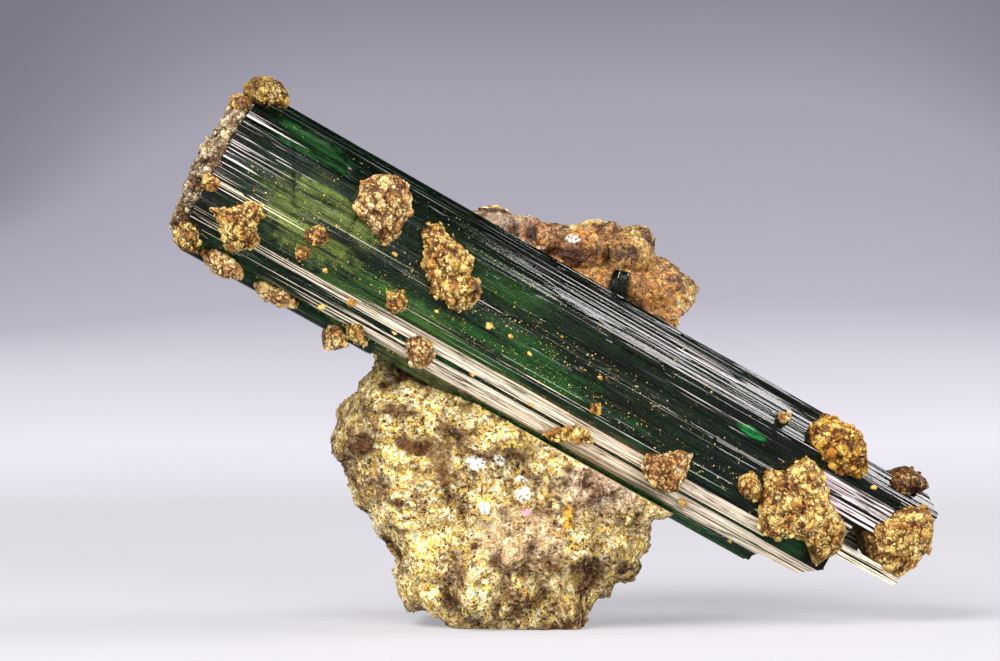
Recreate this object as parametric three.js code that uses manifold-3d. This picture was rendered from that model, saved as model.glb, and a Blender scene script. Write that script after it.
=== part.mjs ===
// A long green tourmaline crystal grown across an upright lump of weathered feldspar and mica, with
// small clusters of mica on its faces. Millimetres, +Z up. The origin is the middle of the flat
// underside that the specimen stands on, and the crystal's broad front face looks towards -Y.

import * as THREE from "three";
import { SimplexNoise } from "three/addons/math/SimplexNoise.js";
import { mergeVertices } from "three/addons/utils/BufferGeometryUtils.js";
import Module from "manifold-3d";

const wasm = await Module();
wasm.setup();

// The long crystal: the middle of its left end, how far its right end leans down and swings back.
const LEFT_END = new THREE.Vector3(-35.6, -17, 55);
const DIP_DEG = 29.4;
const SWING_DEG = 14.1;
const CRYSTAL_START = -0.5;
const CRYSTAL_END = 99;

// The left end is broken off on a slant: it runs further right at the back, and its low corner is gone.
const LEFT_SLANT_DEG = 13;
const LEFT_SLANT_FROM = [-0.5, -6.6];
const LEFT_CORNER = [[-8, -7], [-0.6, -7], [1.6, -10.2], [2.4, -13], [-8, -13]];

// The crystal's section, as [back, up] about its axis: a wide hexagon with rounded-off corners.
const SECTION = [
  [-0.5, 10.1], [-3.2, 8.6], [-5.8, 5.8], [-6.6, -4.5], [-3.4, -8.4], [0, -10.2],
  [2.5, -10], [6, -8], [9.5, -3], [9.5, 3], [5.5, 8], [2, 10],
];

// Growth lines along the crystal: the widths of the strips and how far they stand in or out.
const STRIP_WIDTH = [0.5, 1.5];
const STRIP_RELIEF = 0.13;
const STRIP_EDGE = 0.1;

// Everything past these [along, up] outlines is missing from the front and the back of the crystal,
// because its grown-together columns end at different lengths.
const END_SPLIT = 1.5;
const FRONT_END = [
  [82, 12], [82.4, 7.7], [95.8, 7.7], [97.7, 6.3], [97.4, 4.4], [92.3, 4.3], [92, 0], [88.4, 0],
  [88, -2.6], [96.2, -2.6], [97.1, -3.4], [96.4, -4.1], [88.4, -4.3], [88.4, -6.5], [86.2, -8.6],
  [80.9, -8.7], [80.2, -12], [110, -12], [110, 12],
];
const BACK_END = [
  [80.5, 12], [80.5, 7.4], [96, 7.2], [96.5, 2], [94, 1.8], [93.5, -3.4], [88.5, -3.8],
  [87.5, -8.4], [82, -8.6], [81.5, -12], [110, -12], [110, 12],
];

// A shallow break in the front near the right end, and a thin crystal grown along the lower edge.
const BREAK_OUTLINE = [[79.8, -6.7], [82.4, -4.5], [88.6, -4.4], [88.6, -6.4], [85, -6.7]];
const BREAK_DEPTH = -4.7;
const LOW_STEP = [[-1.4, -9], [-1.5, -10.4], [1.6, -10.6], [1.9, -9]];
const LOW_STEP_END = 27;

// The room kept between touching pieces, the shortest edge kept after cutting, the distance within
// which corners are one, and a length that reaches past the whole specimen.
const GAP = 0.3;
const SMALLEST_EDGE = 0.01;
const SAME_CORNER = 1e-4;
const BEYOND = 60;

// The lump of matrix, seen from the front as [x, z]: its edge, its middle and its depth.
const MATRIX_CENTRE = new THREE.Vector3(1.3, 4.5, 26);
const MATRIX_OUTLINE = [
  [-17.6, 32], [-18.3, 30.7], [-19.5, 29.6], [-19.7, 28.3], [-21.5, 27], [-22.3, 25.9],
  [-22.2, 24.5], [-22.9, 22.4], [-22.8, 20.9], [-21.5, 19.7], [-20.6, 17.9], [-19.5, 16.2],
  [-18.3, 13.5], [-17.3, 11.1], [-16, 8.9], [-14.9, 7.6], [-15.5, 6.1], [-14.3, 4], [-13.2, 2.2],
  [-10.8, 2.4], [-9, 0.9], [-7.8, -4.6], [7.2, -5], [8.3, 1], [9.4, 3.4], [10.9, 4.3], [11.2, 5.6],
  [13.2, 5.6], [14.4, 7.3], [14.1, 8.4], [15.5, 9.3], [15.9, 12.6], [16.6, 16], [16, 20], [16, 29],
  [17.8, 33], [18.7, 36.1], [19.3, 36.9], [19.4, 38.3], [20.7, 38.3], [21.2, 39.1], [21.7, 40.6],
  [21.2, 42], [20.3, 42.7], [19.6, 43.7], [18.5, 44.6], [16.7, 45.1], [16.5, 46.8], [15.2, 47.9],
  [13.6, 47.9], [12.1, 47.7], [11.2, 48.6], [9.4, 48.9], [7.4, 48.5], [6, 48.1], [3.4, 48.5],
  [1.2, 49.6], [-0.3, 49.8], [-1.6, 50.7], [-3.2, 50.9], [-4.5, 50.9], [-5.7, 50.5], [-9.5, 43],
  [-14, 36.5],
];
const MATRIX_DEPTH = { front: 14.5, frontAtTop: 5.5, back: 14, backAtTop: 10 };
const MATRIX_LUMPS = [{ size: 9, height: 1.9 }, { size: 4.2, height: 1.1 }, { size: 2.4, height: 0.6 }];
const MATRIX_FULLNESS = 0.62;
const MATRIX_SEED = 5;
const MATRIX_DETAIL = 12;

// A lump keeps its measured outline: this share of the lumpiness is left at its edge.
const LUMPS_AT_EDGE = 0.25;

// The pink knob of matrix that laps over the crystal's lower edge.
const KNOB_CENTRE = new THREE.Vector3(11.5, -4.5, 17);
const KNOB_OUTLINE = [
  [-7.4, 4.1], [-5.1, 4.3], [-1, 3.7], [1.3, 2.4], [2.4, 0.1], [4.6, -0.8], [7.4, -2.4],
  [7.3, -3.3], [4.3, -4], [3.3, -5.5], [0.2, -5.6], [-4.3, -4.1], [-7.1, 0.8],
];
const KNOB_DEPTH = { front: 5.4, back: 8 };
const KNOB_SEED = 6;
const KNOB_DETAIL = 5;

// The matrix stays below and behind the crystal: this [along, up] outline is clear in front of a depth.
const IN_FRONT_OUTLINE = [[-10, -9.3], [110, -9.3], [110, 40], [-10, 40]];
const MATRIX_FRONT_BEHIND = 2;

// The mica clusters: where each sits along and up the crystal, how far in front of the axis its
// middle is, how far it stands out and sinks in, and its outline as [along, up] from its middle.
const CLUSTERS = [
  { name: "mica_corner_book", at: [1.3, 10.2], ahead: 0, rise: 2.6, sink: 3, outline:
    [[-2.7, -0.6], [-2, 0.8], [-0.7, 1.5], [0.5, 1.8], [1.8, 1.3], [2.7, 0.1], [1.9, -0.9],
      [0.5, -1.6], [-0.7, -1.8], [-2.2, -1.4]] },
  { name: "mica_corner_small", at: [-1, 7.4], ahead: 1.5, rise: 1.8, sink: 2.5, outline:
    [[-1.3, 0.4], [-0.6, 1.2], [1, 1.2], [1.3, 0.4], [0.7, -0.6], [-0.5, -1.2], [-1, -0.7]] },
  { name: "mica_end_crust", at: [0, -1.2], ahead: 0, rise: 6.2, sink: 9, slantDeg: LEFT_SLANT_DEG,
    fullness: 0.45, outline:
    [[-1.7, 8], [0, 9], [2, 8.4], [2.4, 0], [2, -6.6], [0, -7.8], [-1, -7.2], [-1.3, -3],
      [-1.9, 0.5], [-1.6, 4]] },
  { name: "mica_end_patch", at: [-0.1, -2.1], ahead: 6, rise: 0.9, sink: 1.5, outline:
    [[-1.1, 1.1], [0.9, 0.8], [1.1, -0.4], [-0.1, -1.1], [-1.1, -0.6]] },
  { name: "mica_foot_crust", at: [1, -8.6], ahead: 2.6, rise: 2.2, sink: 4, outline:
    [[-2.2, 2], [-0.7, 1.9], [1, 0.9], [1.2, -0.2], [2.2, -1.2], [0.4, -1.8], [-0.8, -1.4],
      [-1.6, 0]] },
  { name: "mica_left_star", at: [4.5, -4.5], ahead: 6.1, rise: 2.3, sink: 1.4, outline:
    [[-3.5, 0], [-1.9, 0.6], [-0.5, 1.7], [0.5, 2.9], [1.8, 3], [2.5, 2.1], [2.1, 0.6], [3.5, -0.6],
      [2.9, -1.9], [1.8, -2.6], [0.3, -3], [-0.5, -2.3], [-1.2, -1.1]] },
  { name: "mica_left_edge", at: [6.3, -9.5], ahead: 1.4, rise: 2.7, sink: 3.4, outline:
    [[-2.8, 0.3], [-2.3, 1.2], [-0.3, 1.3], [2.3, 0.7], [2.8, -0.3], [1.2, -1.1], [-0.6, -1.3],
      [-2, -0.7]] },
  { name: "mica_edge_strip", at: [13.6, -9.7], ahead: 1.2, rise: 1.5, sink: 2.2, outline:
    [[-2.9, -0.1], [-1.6, 0.7], [1.3, 0.8], [2.9, 0.6], [2.9, -0.4], [1.3, -0.8], [-1.6, -0.9]] },
  { name: "mica_round_upper", at: [13.5, -1.3], ahead: 6.3, rise: 1.4, sink: 1, outline:
    [[-1.4, -0.1], [-0.3, 1.2], [1.1, 0.7], [1.4, -0.3], [0.4, -1.2], [-1.1, -0.9]] },
  { name: "mica_round_lower", at: [12.9, -3.9], ahead: 6.3, rise: 0.9, sink: 1, outline:
    [[-0.9, 0], [-0.1, 1], [0.9, 0.7], [0.9, -0.5], [-0.1, -1]] },
  { name: "mica_upper_left", at: [18.6, 5.4], ahead: 5, rise: 3.6, sink: 3.4, outline:
    [[-3.4, 1.1], [-2, 2.7], [-0.2, 3.8], [0.9, 3.7], [2.1, 2.7], [3.2, 0.8], [3, -0.9],
      [3.4, -2.4], [2.4, -3.8], [0.9, -3.2], [-1.7, -2.4], [-2.9, -1.5], [-3.2, -0.1]] },
  { name: "mica_slanting", at: [29, 2.9], ahead: 6, rise: 2.7, sink: 1.8, outline:
    [[-4.8, 1.9], [-4.2, 3.5], [-3.4, 4.1], [-2.2, 2.9], [-0.8, 2.8], [1.4, 2.5], [2.1, 1.5],
      [1.8, 0.4], [3.9, 0.3], [4.7, -0.7], [4.8, -2.2], [3.6, -3.9], [2.4, -4.1], [1.1, -3.3],
      [-0.5, -3.6], [-1.1, -2.5], [-2.6, -1.3], [-3.4, 0.4]] },
  { name: "mica_pale_centre", at: [25.3, -3.6], ahead: 6.3, rise: 1.5, sink: 1, outline:
    [[-1.5, 0.6], [0, 1.5], [0.9, 1], [1.5, -0.3], [0.4, -1.5], [-0.6, -0.8]] },
  { name: "mica_lower_centre", at: [31.1, -7.4], ahead: 4.3, rise: 2.2, sink: 2.5, outline:
    [[-1.9, 1.1], [-1.4, 1.8], [0.5, 1.9], [1.9, 0.5], [1.6, -0.9], [0.4, -1.9], [-1.4, -0.5]] },
  { name: "mica_lower_small", at: [24, -8.9], ahead: 2.8, rise: 1.4, sink: 2, outline:
    [[-1.5, 0.1], [-0.7, 1.3], [0, 1], [0.7, 0], [1.5, -0.8], [0.7, -1.3], [-0.7, -1.1]] },
  { name: "mica_under_edge", at: [22.5, -10.9], ahead: 0.8, rise: 1.7, sink: 2.2, outline:
    [[-1.8, 1], [-0.5, 1.6], [0.4, 1.1], [1.8, 0.1], [0.7, -0.9], [-0.5, -1.6], [-1.4, -0.4]] },
  { name: "mica_orange_crumb", at: [52.7, -2.9], ahead: 6.4, rise: 0.8, sink: 0.8, outline:
    [[-0.7, 0], [0.2, 0.8], [0.7, 0], [0.2, -0.8], [-0.5, -0.4]] },
  { name: "mica_thin_flakes", at: [52.2, -7.2], ahead: 4.6, rise: 1.1, sink: 2, outline:
    [[-2.9, -1.5], [-1.8, -0.1], [-0.2, 1.5], [2.5, 1.2], [2.9, 0.4], [0.3, -0.6], [-1.8, -1.8]] },
  { name: "mica_horned", at: [63.9, -4.9], ahead: 5.8, rise: 2.9, sink: 2.6, outline:
    [[-2.7, 0.4], [-1.1, 0.8], [0.2, 2.3], [2.2, 2.8], [2.1, 1.4], [2.7, -0.4], [2.4, -2.2],
      [1, -2.8], [-0.8, -2.5], [-2.3, -1.3]] },
  { name: "mica_top_crumb", at: [74.5, 7.1], ahead: 4.8, rise: 1.1, sink: 1.5, outline:
    [[-0.8, 0.4], [0.2, 0.8], [0.8, -0.1], [0, -0.8], [-0.8, -0.5]] },
  { name: "mica_upper_right", at: [82.8, 7.3], ahead: 3.4, rise: 4.2, sink: 5.2, outline:
    [[-4.6, 0.5], [-2.8, 2.9], [-0.5, 2.9], [2, 1.9], [3.6, 0.1], [4.6, -1.1], [3.3, -2.5],
      [1.4, -2.9], [-1.2, -2.4], [-3.8, -1.3]] },
  { name: "mica_great_cluster", at: [81.7, -1.1], ahead: 5.8, rise: 4.4, sink: 2.4, outline:
    [[-6.5, 1.7], [-4.4, 2.7], [-3.6, 4.2], [-2.8, 5.4], [-1.2, 5.1], [0.7, 3.8], [1.8, 2.1],
      [3.9, 1.2], [5.8, -0.3], [6.5, -2.1], [5.5, -4.2], [4.9, -5.4], [2.6, -3.3], [0, -3.3],
      [-1.2, -4.8], [-3.1, -5.2], [-4.6, -3.6], [-5.4, -1.2], [-6.3, 0.6]] },
  { name: "mica_beside_great", at: [74.3, -2], ahead: 6.3, rise: 1.7, sink: 1.2, outline:
    [[-1.7, 0.3], [-0.6, 1.7], [1.3, 0.6], [1.7, -0.9], [0.2, -1.7], [-1.3, -1]] },
  { name: "mica_dark_end", at: [92.8, 7.6], ahead: 2.6, rise: 3, sink: 3.6, outline:
    [[-2.9, -0.8], [-1.1, 0.7], [-0.2, 1.9], [2.1, 1.6], [2.9, 0.9], [2.1, -0.2], [0.8, -0.9],
      [-0.5, -1.9], [-2.3, -1.6]] },
  { name: "mica_right_end", at: [94.5, 1.4], ahead: 4, rise: 4.4, sink: 7, outline:
    [[-1.9, 2.9], [-0.3, 4.3], [1.4, 4.8], [2.9, 3.9], [3.7, 2], [3.7, -1.9], [2.4, -4.8],
      [0.7, -4.7], [-1.6, -3.8], [-3.2, -1.9], [-3.7, -0.1], [-2.2, 1.4]] },
];
const CLUSTER_LUMPS = [{ size: 2.2, height: 0.35 }, { size: 1, height: 0.16 }];
const CLUSTER_FULLNESS = 0.7;
const LARGE_CLUSTER = { reach: 3, detail: 3 };
const SMALL_CLUSTER_DETAIL = 2;

// The second, stubby tourmaline behind the long one's upper edge.
const SMALL_CRYSTAL = { at: [50.2, 1.2, 10.9], radius: 1.35, tip: 0.9, length: 4.4, leanDeg: -18 };

const LOOKS = {
  tourmaline: { color: 0x0d2414, roughness: 0.12, metalness: 0 },
  matrix: { color: 0xa88a4a, roughness: 0.9, metalness: 0 },
  mica: { color: 0xb8903f, roughness: 0.7, metalness: 0 },
};

const X = new THREE.Vector3(1, 0, 0);
const Y = new THREE.Vector3(0, 1, 0);
const Z = new THREE.Vector3(0, 0, 1);
const ACROSS_TO_SECTION = new THREE.Matrix4().makeBasis(Y, Z, X);
const ACROSS_TO_FRONT = new THREE.Matrix4().makeBasis(X, Z, Y.clone().negate());

/** Moves each side of a closed outline out by one distance, or in by a negative one. */
function offsetOutline(outline, distance) {
  const points = outline.map(([x, y]) => new THREE.Vector2(x, y));
  const outwards = THREE.ShapeUtils.area(points) > 0 ? distance : -distance;
  const normals = points.map((point, i) => {
    const side = points[(i + 1) % points.length].clone().sub(point).normalize();
    return new THREE.Vector2(side.y, -side.x);
  });
  return points.map((point, i) => {
    const before = normals[(i + points.length - 1) % points.length];
    const corner = before.clone().add(normals[i]).multiplyScalar(outwards / (1 + before.dot(normals[i])));
    return point.clone().add(corner).toArray();
  });
}

/** Breaks each side of an outline into flat strips that stand in or out, as growth lines do. */
function striated(outline) {
  return outline.flatMap(([x, y], i) => {
    const start = new THREE.Vector2(x, y);
    const side = new THREE.Vector2(...outline[(i + 1) % outline.length]).sub(start);
    const length = side.length();
    side.normalize();
    const outwards = new THREE.Vector2(side.y, -side.x);
    const points = [];
    let at = STRIP_EDGE;
    while (at < length - STRIP_WIDTH[0]) {
      const width = THREE.MathUtils.lerp(...STRIP_WIDTH, THREE.MathUtils.seededRandom() ** 2);
      const end = at + width > length - STRIP_WIDTH[0] ? length - STRIP_EDGE : at + width;
      const relief = STRIP_RELIEF * (2 * THREE.MathUtils.seededRandom() - 1);
      for (const along of [at, end - STRIP_EDGE]) {
        points.push(start.clone().addScaledVector(side, along).addScaledVector(outwards, relief).toArray());
      }
      at = end;
    }
    return points;
  });
}

/** A straight bar along X with a [back, up] section. */
function bar(section, from, to) {
  const shape = new THREE.Shape(section.map((point) => new THREE.Vector2(...point)));
  const body = new THREE.ExtrudeGeometry(shape, { depth: to - from, bevelEnabled: false });
  return body.translate(0, 0, from).applyMatrix4(ACROSS_TO_SECTION);
}

/** A slab with an [along, up] outline, from a front depth to a back depth along Y. */
function slab(outline, front, back) {
  const shape = new THREE.Shape(outline.map((point) => new THREE.Vector2(...point)));
  const body = new THREE.ExtrudeGeometry(shape, { depth: back - front, bevelEnabled: false });
  return body.translate(0, 0, -back).applyMatrix4(ACROSS_TO_FRONT);
}

/** How far a star-shaped outline reaches from its middle in one direction. */
function reachOf(outline, angle) {
  const ray = new THREE.Vector2(Math.cos(angle), Math.sin(angle));
  let reach = 0;
  outline.forEach((point, i) => {
    const start = new THREE.Vector2(...point);
    const side = new THREE.Vector2(...outline[(i + 1) % outline.length]).sub(start);
    const across = ray.cross(side);
    if (Math.abs(across) < 1e-9) return;
    const distance = start.cross(side) / across;
    const share = start.cross(ray) / across;
    if (distance > 0 && share >= -1e-6 && share <= 1 + 1e-6) reach = Math.max(reach, distance);
  });
  return reach;
}

/** The same reach with its small bumps evened out, for the parts of a lump away from its outline. */
function smoothReachOf(outline, angle) {
  const nearby = [-0.5, -0.25, 0, 0.25, 0.5].map((turn) => reachOf(outline, angle + turn));
  return nearby.reduce((sum, reach) => sum + reach, 0) / nearby.length;
}

/** A lumpy cushion with an [x, z] outline about its centre, and its own depth in front and behind. */
function pillow({ centre, outline, depth, lumps, seed, detail, fullness = CLUSTER_FULLNESS, grow = 0 }) {
  THREE.MathUtils.seededRandom(seed);
  const noise = new SimplexNoise({ random: () => THREE.MathUtils.seededRandom() });
  const body = joinedUp(new THREE.IcosahedronGeometry(1, detail));
  const place = body.attributes.position;
  const direction = new THREE.Vector3();
  const point = new THREE.Vector3();
  for (let i = 0; i < place.count; i += 1) {
    direction.fromBufferAttribute(place, i);
    const flat = Math.hypot(direction.x, direction.z);
    const angle = Math.atan2(direction.z, direction.x);
    const edge = THREE.MathUtils.lerp(smoothReachOf(outline, angle), reachOf(outline, angle), flat ** 4);
    const reach = (edge + grow) * flat ** fullness;
    const top = THREE.MathUtils.smoothstep(flat * Math.sin(angle), -0.2, 0.8);
    const deep = direction.y < 0
      ? THREE.MathUtils.lerp(depth.front, depth.frontAtTop ?? depth.front, top)
      : THREE.MathUtils.lerp(depth.back, depth.backAtTop ?? depth.back, top);
    const out = Math.sign(direction.y) * (deep + grow) * Math.abs(direction.y) ** fullness;
    point.set(reach * Math.cos(angle), out, reach * Math.sin(angle));
    const swell = lumps.reduce((sum, { size, height }) =>
      sum + height * noise.noise3d(point.x / size, point.y / size, point.z / size), 0);
    const share = THREE.MathUtils.lerp(LUMPS_AT_EDGE, 1, Math.abs(direction.y));
    point.addScaledVector(direction, swell * share).add(centre);
    place.setXYZ(i, point.x, point.y, point.z);
  }
  return body;
}

/** The geometry with its positions only, and its corners shared between faces. */
function joinedUp(geometry) {
  const bare = geometry.clone();
  bare.deleteAttribute("normal");
  bare.deleteAttribute("uv");
  return mergeVertices(bare, SAME_CORNER);
}

/** A closed mesh as a solid that can be joined and cut. */
function solidOf(geometry) {
  const merged = joinedUp(geometry);
  return new wasm.Manifold(new wasm.Mesh({
    numProp: 3,
    vertProperties: new Float32Array(merged.attributes.position.array),
    triVerts: new Uint32Array(merged.index.array),
  }));
}

/** The largest single piece of a solid, as a mesh geometry. */
function geometryOf(solid) {
  const pieces = solid.simplify(SMALLEST_EDGE).decompose();
  const largest = pieces.reduce((best, piece) => (piece.volume() > best.volume() ? piece : best));
  const mesh = largest.getMesh();
  const geometry = new THREE.BufferGeometry();
  geometry.setAttribute("position", new THREE.BufferAttribute(mesh.vertProperties, 3));
  geometry.setIndex(new THREE.BufferAttribute(mesh.triVerts, 1));
  geometry.computeVertexNormals();
  return geometry;
}

/** The long crystal as one solid, or a plain one grown by a margin that keeps other pieces off it. */
function longCrystal(grow) {
  THREE.MathUtils.seededRandom(11);
  const section = grow > 0 ? offsetOutline(SECTION, grow) : striated(SECTION);
  const lowStep = offsetOutline(LOW_STEP, grow);
  const slant = new THREE.BoxGeometry(BEYOND, BEYOND, BEYOND).translate(-BEYOND / 2 - grow, 0, 0)
    .rotateZ(-THREE.MathUtils.degToRad(LEFT_SLANT_DEG)).translate(...LEFT_SLANT_FROM, 0);
  return solidOf(bar(section, CRYSTAL_START - grow, CRYSTAL_END))
    .subtract(solidOf(slab(offsetOutline(FRONT_END, -grow), -BEYOND, END_SPLIT)))
    .subtract(solidOf(slab(offsetOutline(BACK_END, -grow), END_SPLIT + grow, BEYOND)))
    .subtract(solidOf(slab(offsetOutline(BREAK_OUTLINE, -grow), -BEYOND, BREAK_DEPTH - grow)))
    .add(solidOf(bar(lowStep, CRYSTAL_START - grow, LOW_STEP_END + grow)))
    .subtract(solidOf(slant))
    .subtract(solidOf(slab(offsetOutline(LEFT_CORNER, -grow), -BEYOND, BEYOND)));
}

/** One mica cluster, at its true size or grown by a margin. */
function clusterPillow({ at: [along, up], ahead, rise, sink, slantDeg = 0, fullness, outline }, seed, grow) {
  const isLarge = Math.max(...outline.flat().map(Math.abs)) > LARGE_CLUSTER.reach;
  const detail = isLarge ? LARGE_CLUSTER.detail : SMALL_CLUSTER_DETAIL;
  const body = pillow({
    centre: new THREE.Vector3(), outline, depth: { front: rise, back: sink },
    lumps: CLUSTER_LUMPS, seed, detail, fullness, grow,
  });
  return body.rotateZ(-THREE.MathUtils.degToRad(slantDeg)).translate(along, -ahead, up);
}

/** The stubby tourmaline: a six-sided prism with a blunt tip, grown by a margin. */
function smallCrystal(grow) {
  const { at, radius, tip, length, leanDeg } = SMALL_CRYSTAL;
  const body = new THREE.CylinderGeometry(tip + grow, radius + grow, length + 2 * grow, 6);
  body.rotateX(Math.PI / 2).rotateY(THREE.MathUtils.degToRad(leanDeg)).translate(...at);
  return solidOf(body);
}

function named(name, geometry, look) {
  const mesh = new THREE.Mesh(geometry, new THREE.MeshStandardMaterial(look));
  mesh.name = name;
  return mesh;
}

const crystalGroup = new THREE.Group();
crystalGroup.position.copy(LEFT_END);
crystalGroup.rotation.set(0, THREE.MathUtils.degToRad(DIP_DEG), THREE.MathUtils.degToRad(SWING_DEG), "YZX");
crystalGroup.updateMatrix();
crystalGroup.add(named("tourmaline_crystal", geometryOf(longCrystal(0)), LOOKS.tourmaline));

// Each piece is cut back to stay clear of every piece already made.
const taken = [longCrystal(GAP + STRIP_RELIEF)];
const clearOfTaken = (solid) => taken.reduce((rest, other) => rest.subtract(other), solid);

CLUSTERS.forEach((cluster, i) => {
  const solid = clearOfTaken(solidOf(clusterPillow(cluster, i + 1, 0)));
  crystalGroup.add(named(cluster.name, geometryOf(solid), LOOKS.mica));
  taken.push(solidOf(clusterPillow(cluster, i + 1, GAP)));
});

crystalGroup.add(named("small_tourmaline", geometryOf(clearOfTaken(smallCrystal(0))), LOOKS.tourmaline));
taken.push(smallCrystal(GAP));

/** The matrix: the lump and its knob, with the crystals' bed cut out and a flat underside. */
function matrixRock() {
  const toCrystal = crystalGroup.matrix.clone().invert();
  const lump = pillow({
    centre: MATRIX_CENTRE,
    outline: MATRIX_OUTLINE.map(([x, z]) => [x - MATRIX_CENTRE.x, z - MATRIX_CENTRE.z]),
    depth: MATRIX_DEPTH, lumps: MATRIX_LUMPS, seed: MATRIX_SEED, detail: MATRIX_DETAIL,
    fullness: MATRIX_FULLNESS,
  });
  const knob = pillow({
    centre: KNOB_CENTRE, outline: KNOB_OUTLINE, depth: KNOB_DEPTH, lumps: CLUSTER_LUMPS,
    seed: KNOB_SEED, detail: KNOB_DETAIL,
  });
  const inFront = slab(IN_FRONT_OUTLINE, -BEYOND, MATRIX_FRONT_BEHIND);
  const bedded = clearOfTaken(
    solidOf(lump.applyMatrix4(toCrystal))
      .subtract(solidOf(inFront))
      .add(solidOf(knob.applyMatrix4(toCrystal))),
  );
  const upright = solidOf(geometryOf(bedded).applyMatrix4(crystalGroup.matrix));
  const below = new THREE.BoxGeometry(3 * BEYOND, 3 * BEYOND, BEYOND).translate(0, 0, -BEYOND / 2);
  return geometryOf(upright.subtract(solidOf(below)));
}

const specimen = new THREE.Group();
specimen.add(named("matrix_rock", matrixRock(), LOOKS.matrix), crystalGroup);

export default specimen;
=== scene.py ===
"""Builds the look of a long green tourmaline crystal on its lump of feldspar and mica.

Lengths in this file are in millimetres and become metres when a mesh is made. Places on the crystal
are written along, back and up: along its axis from the left end, back from the viewer, and up.
"""
import math

import bpy
import numpy as np
from mathutils import Matrix, Vector


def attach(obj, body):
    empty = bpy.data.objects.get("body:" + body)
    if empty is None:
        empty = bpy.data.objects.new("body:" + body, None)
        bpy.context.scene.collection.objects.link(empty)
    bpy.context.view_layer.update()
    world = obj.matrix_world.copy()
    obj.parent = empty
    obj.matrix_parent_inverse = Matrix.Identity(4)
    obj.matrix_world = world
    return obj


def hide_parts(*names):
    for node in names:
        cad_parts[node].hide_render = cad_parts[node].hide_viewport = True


bl_info = {
    "name": "Tourmaline on matrix",
    "version": (1, 0, 0),
    "blender": (4, 5, 0),
    "location": "View3D > Sidebar > Tourmaline",
    "description": "Builds a green tourmaline crystal with mica clusters on its matrix",
    "category": "Add Mesh",
}

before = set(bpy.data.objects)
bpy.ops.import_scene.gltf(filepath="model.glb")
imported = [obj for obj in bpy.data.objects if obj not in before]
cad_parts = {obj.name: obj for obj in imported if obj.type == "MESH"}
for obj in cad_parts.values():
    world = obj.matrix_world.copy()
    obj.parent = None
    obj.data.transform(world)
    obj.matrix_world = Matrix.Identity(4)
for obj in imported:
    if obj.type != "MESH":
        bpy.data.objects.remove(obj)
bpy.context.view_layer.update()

MM = 0.001

# The crystal's frame: the middle of its left end, and its along, back and up directions.
LEFT_END = np.array([-35.6, -17.0, 55.0])
DIP = math.radians(29.4)
SWING = math.radians(14.1)
ALONG = np.array([math.cos(DIP) * math.cos(SWING), math.sin(SWING), -math.sin(DIP) * math.cos(SWING)])
UP = np.array([math.sin(DIP), 0.0, math.cos(DIP)])
BACK = np.cross(UP, ALONG)
CRYSTAL_AXES = np.column_stack([ALONG, BACK, UP])

# The crystal's section, as [back, up] about its axis, where its two ends are before cutting, the
# slanting plane and the corner that end it on the left, and the front and back outlines of its
# stepped right end, as [along, up], which meet at the depth END_SPLIT.
SECTION = [
    [-0.5, 10.1], [-3.2, 8.6], [-5.8, 5.8], [-6.6, -4.5], [-3.4, -8.4], [0, -10.2],
    [2.5, -10], [6, -8], [9.5, -3], [9.5, 3], [5.5, 8], [2, 10],
]
CRYSTAL_START = -2.0
CRYSTAL_END = 99.0
LEFT_SLANT_DEG = 13.0
LEFT_SLANT_FROM = [-0.5, -6.6]
LEFT_CORNER = [[-8, -7], [-0.6, -7], [1.6, -10.2], [2.4, -13], [-8, -13]]
END_SPLIT = 1.5
CUT_OVERLAP = 0.02
SHARP_ANGLE = math.radians(7)
FRONT_END = [
    [82, 12], [82.4, 7.7], [95.8, 7.7], [97.7, 6.3], [97.4, 4.4], [92.3, 4.3], [92, 0], [88.4, 0],
    [88, -2.6], [96.2, -2.6], [97.1, -3.4], [96.4, -4.1], [88.4, -4.3], [88.4, -6.5], [86.2, -8.6],
    [80.9, -8.7], [80.2, -12], [110, -12], [110, 12],
]
BACK_END = [
    [80.5, 12], [80.5, 7.4], [96, 7.2], [96.5, 2], [94, 1.8], [93.5, -3.4], [88.5, -3.8],
    [87.5, -8.4], [82, -8.6], [81.5, -12], [110, -12], [110, 12],
]
# The shallow break near the right end, and the thin step along the lower left edge.
BREAK_OUTLINE = [[79.8, -6.7], [82.4, -4.5], [88.6, -4.4], [88.6, -6.4], [85, -6.7]]
BREAK_DEPTH = -4.7
LOW_STEP = [[-1.4, -9], [1.9, -9], [1.6, -10.6], [-1.5, -10.4]]
LOW_STEP_END = 27.0
# A length that reaches past the specimen from anywhere in it.
BEYOND = 60.0

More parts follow.
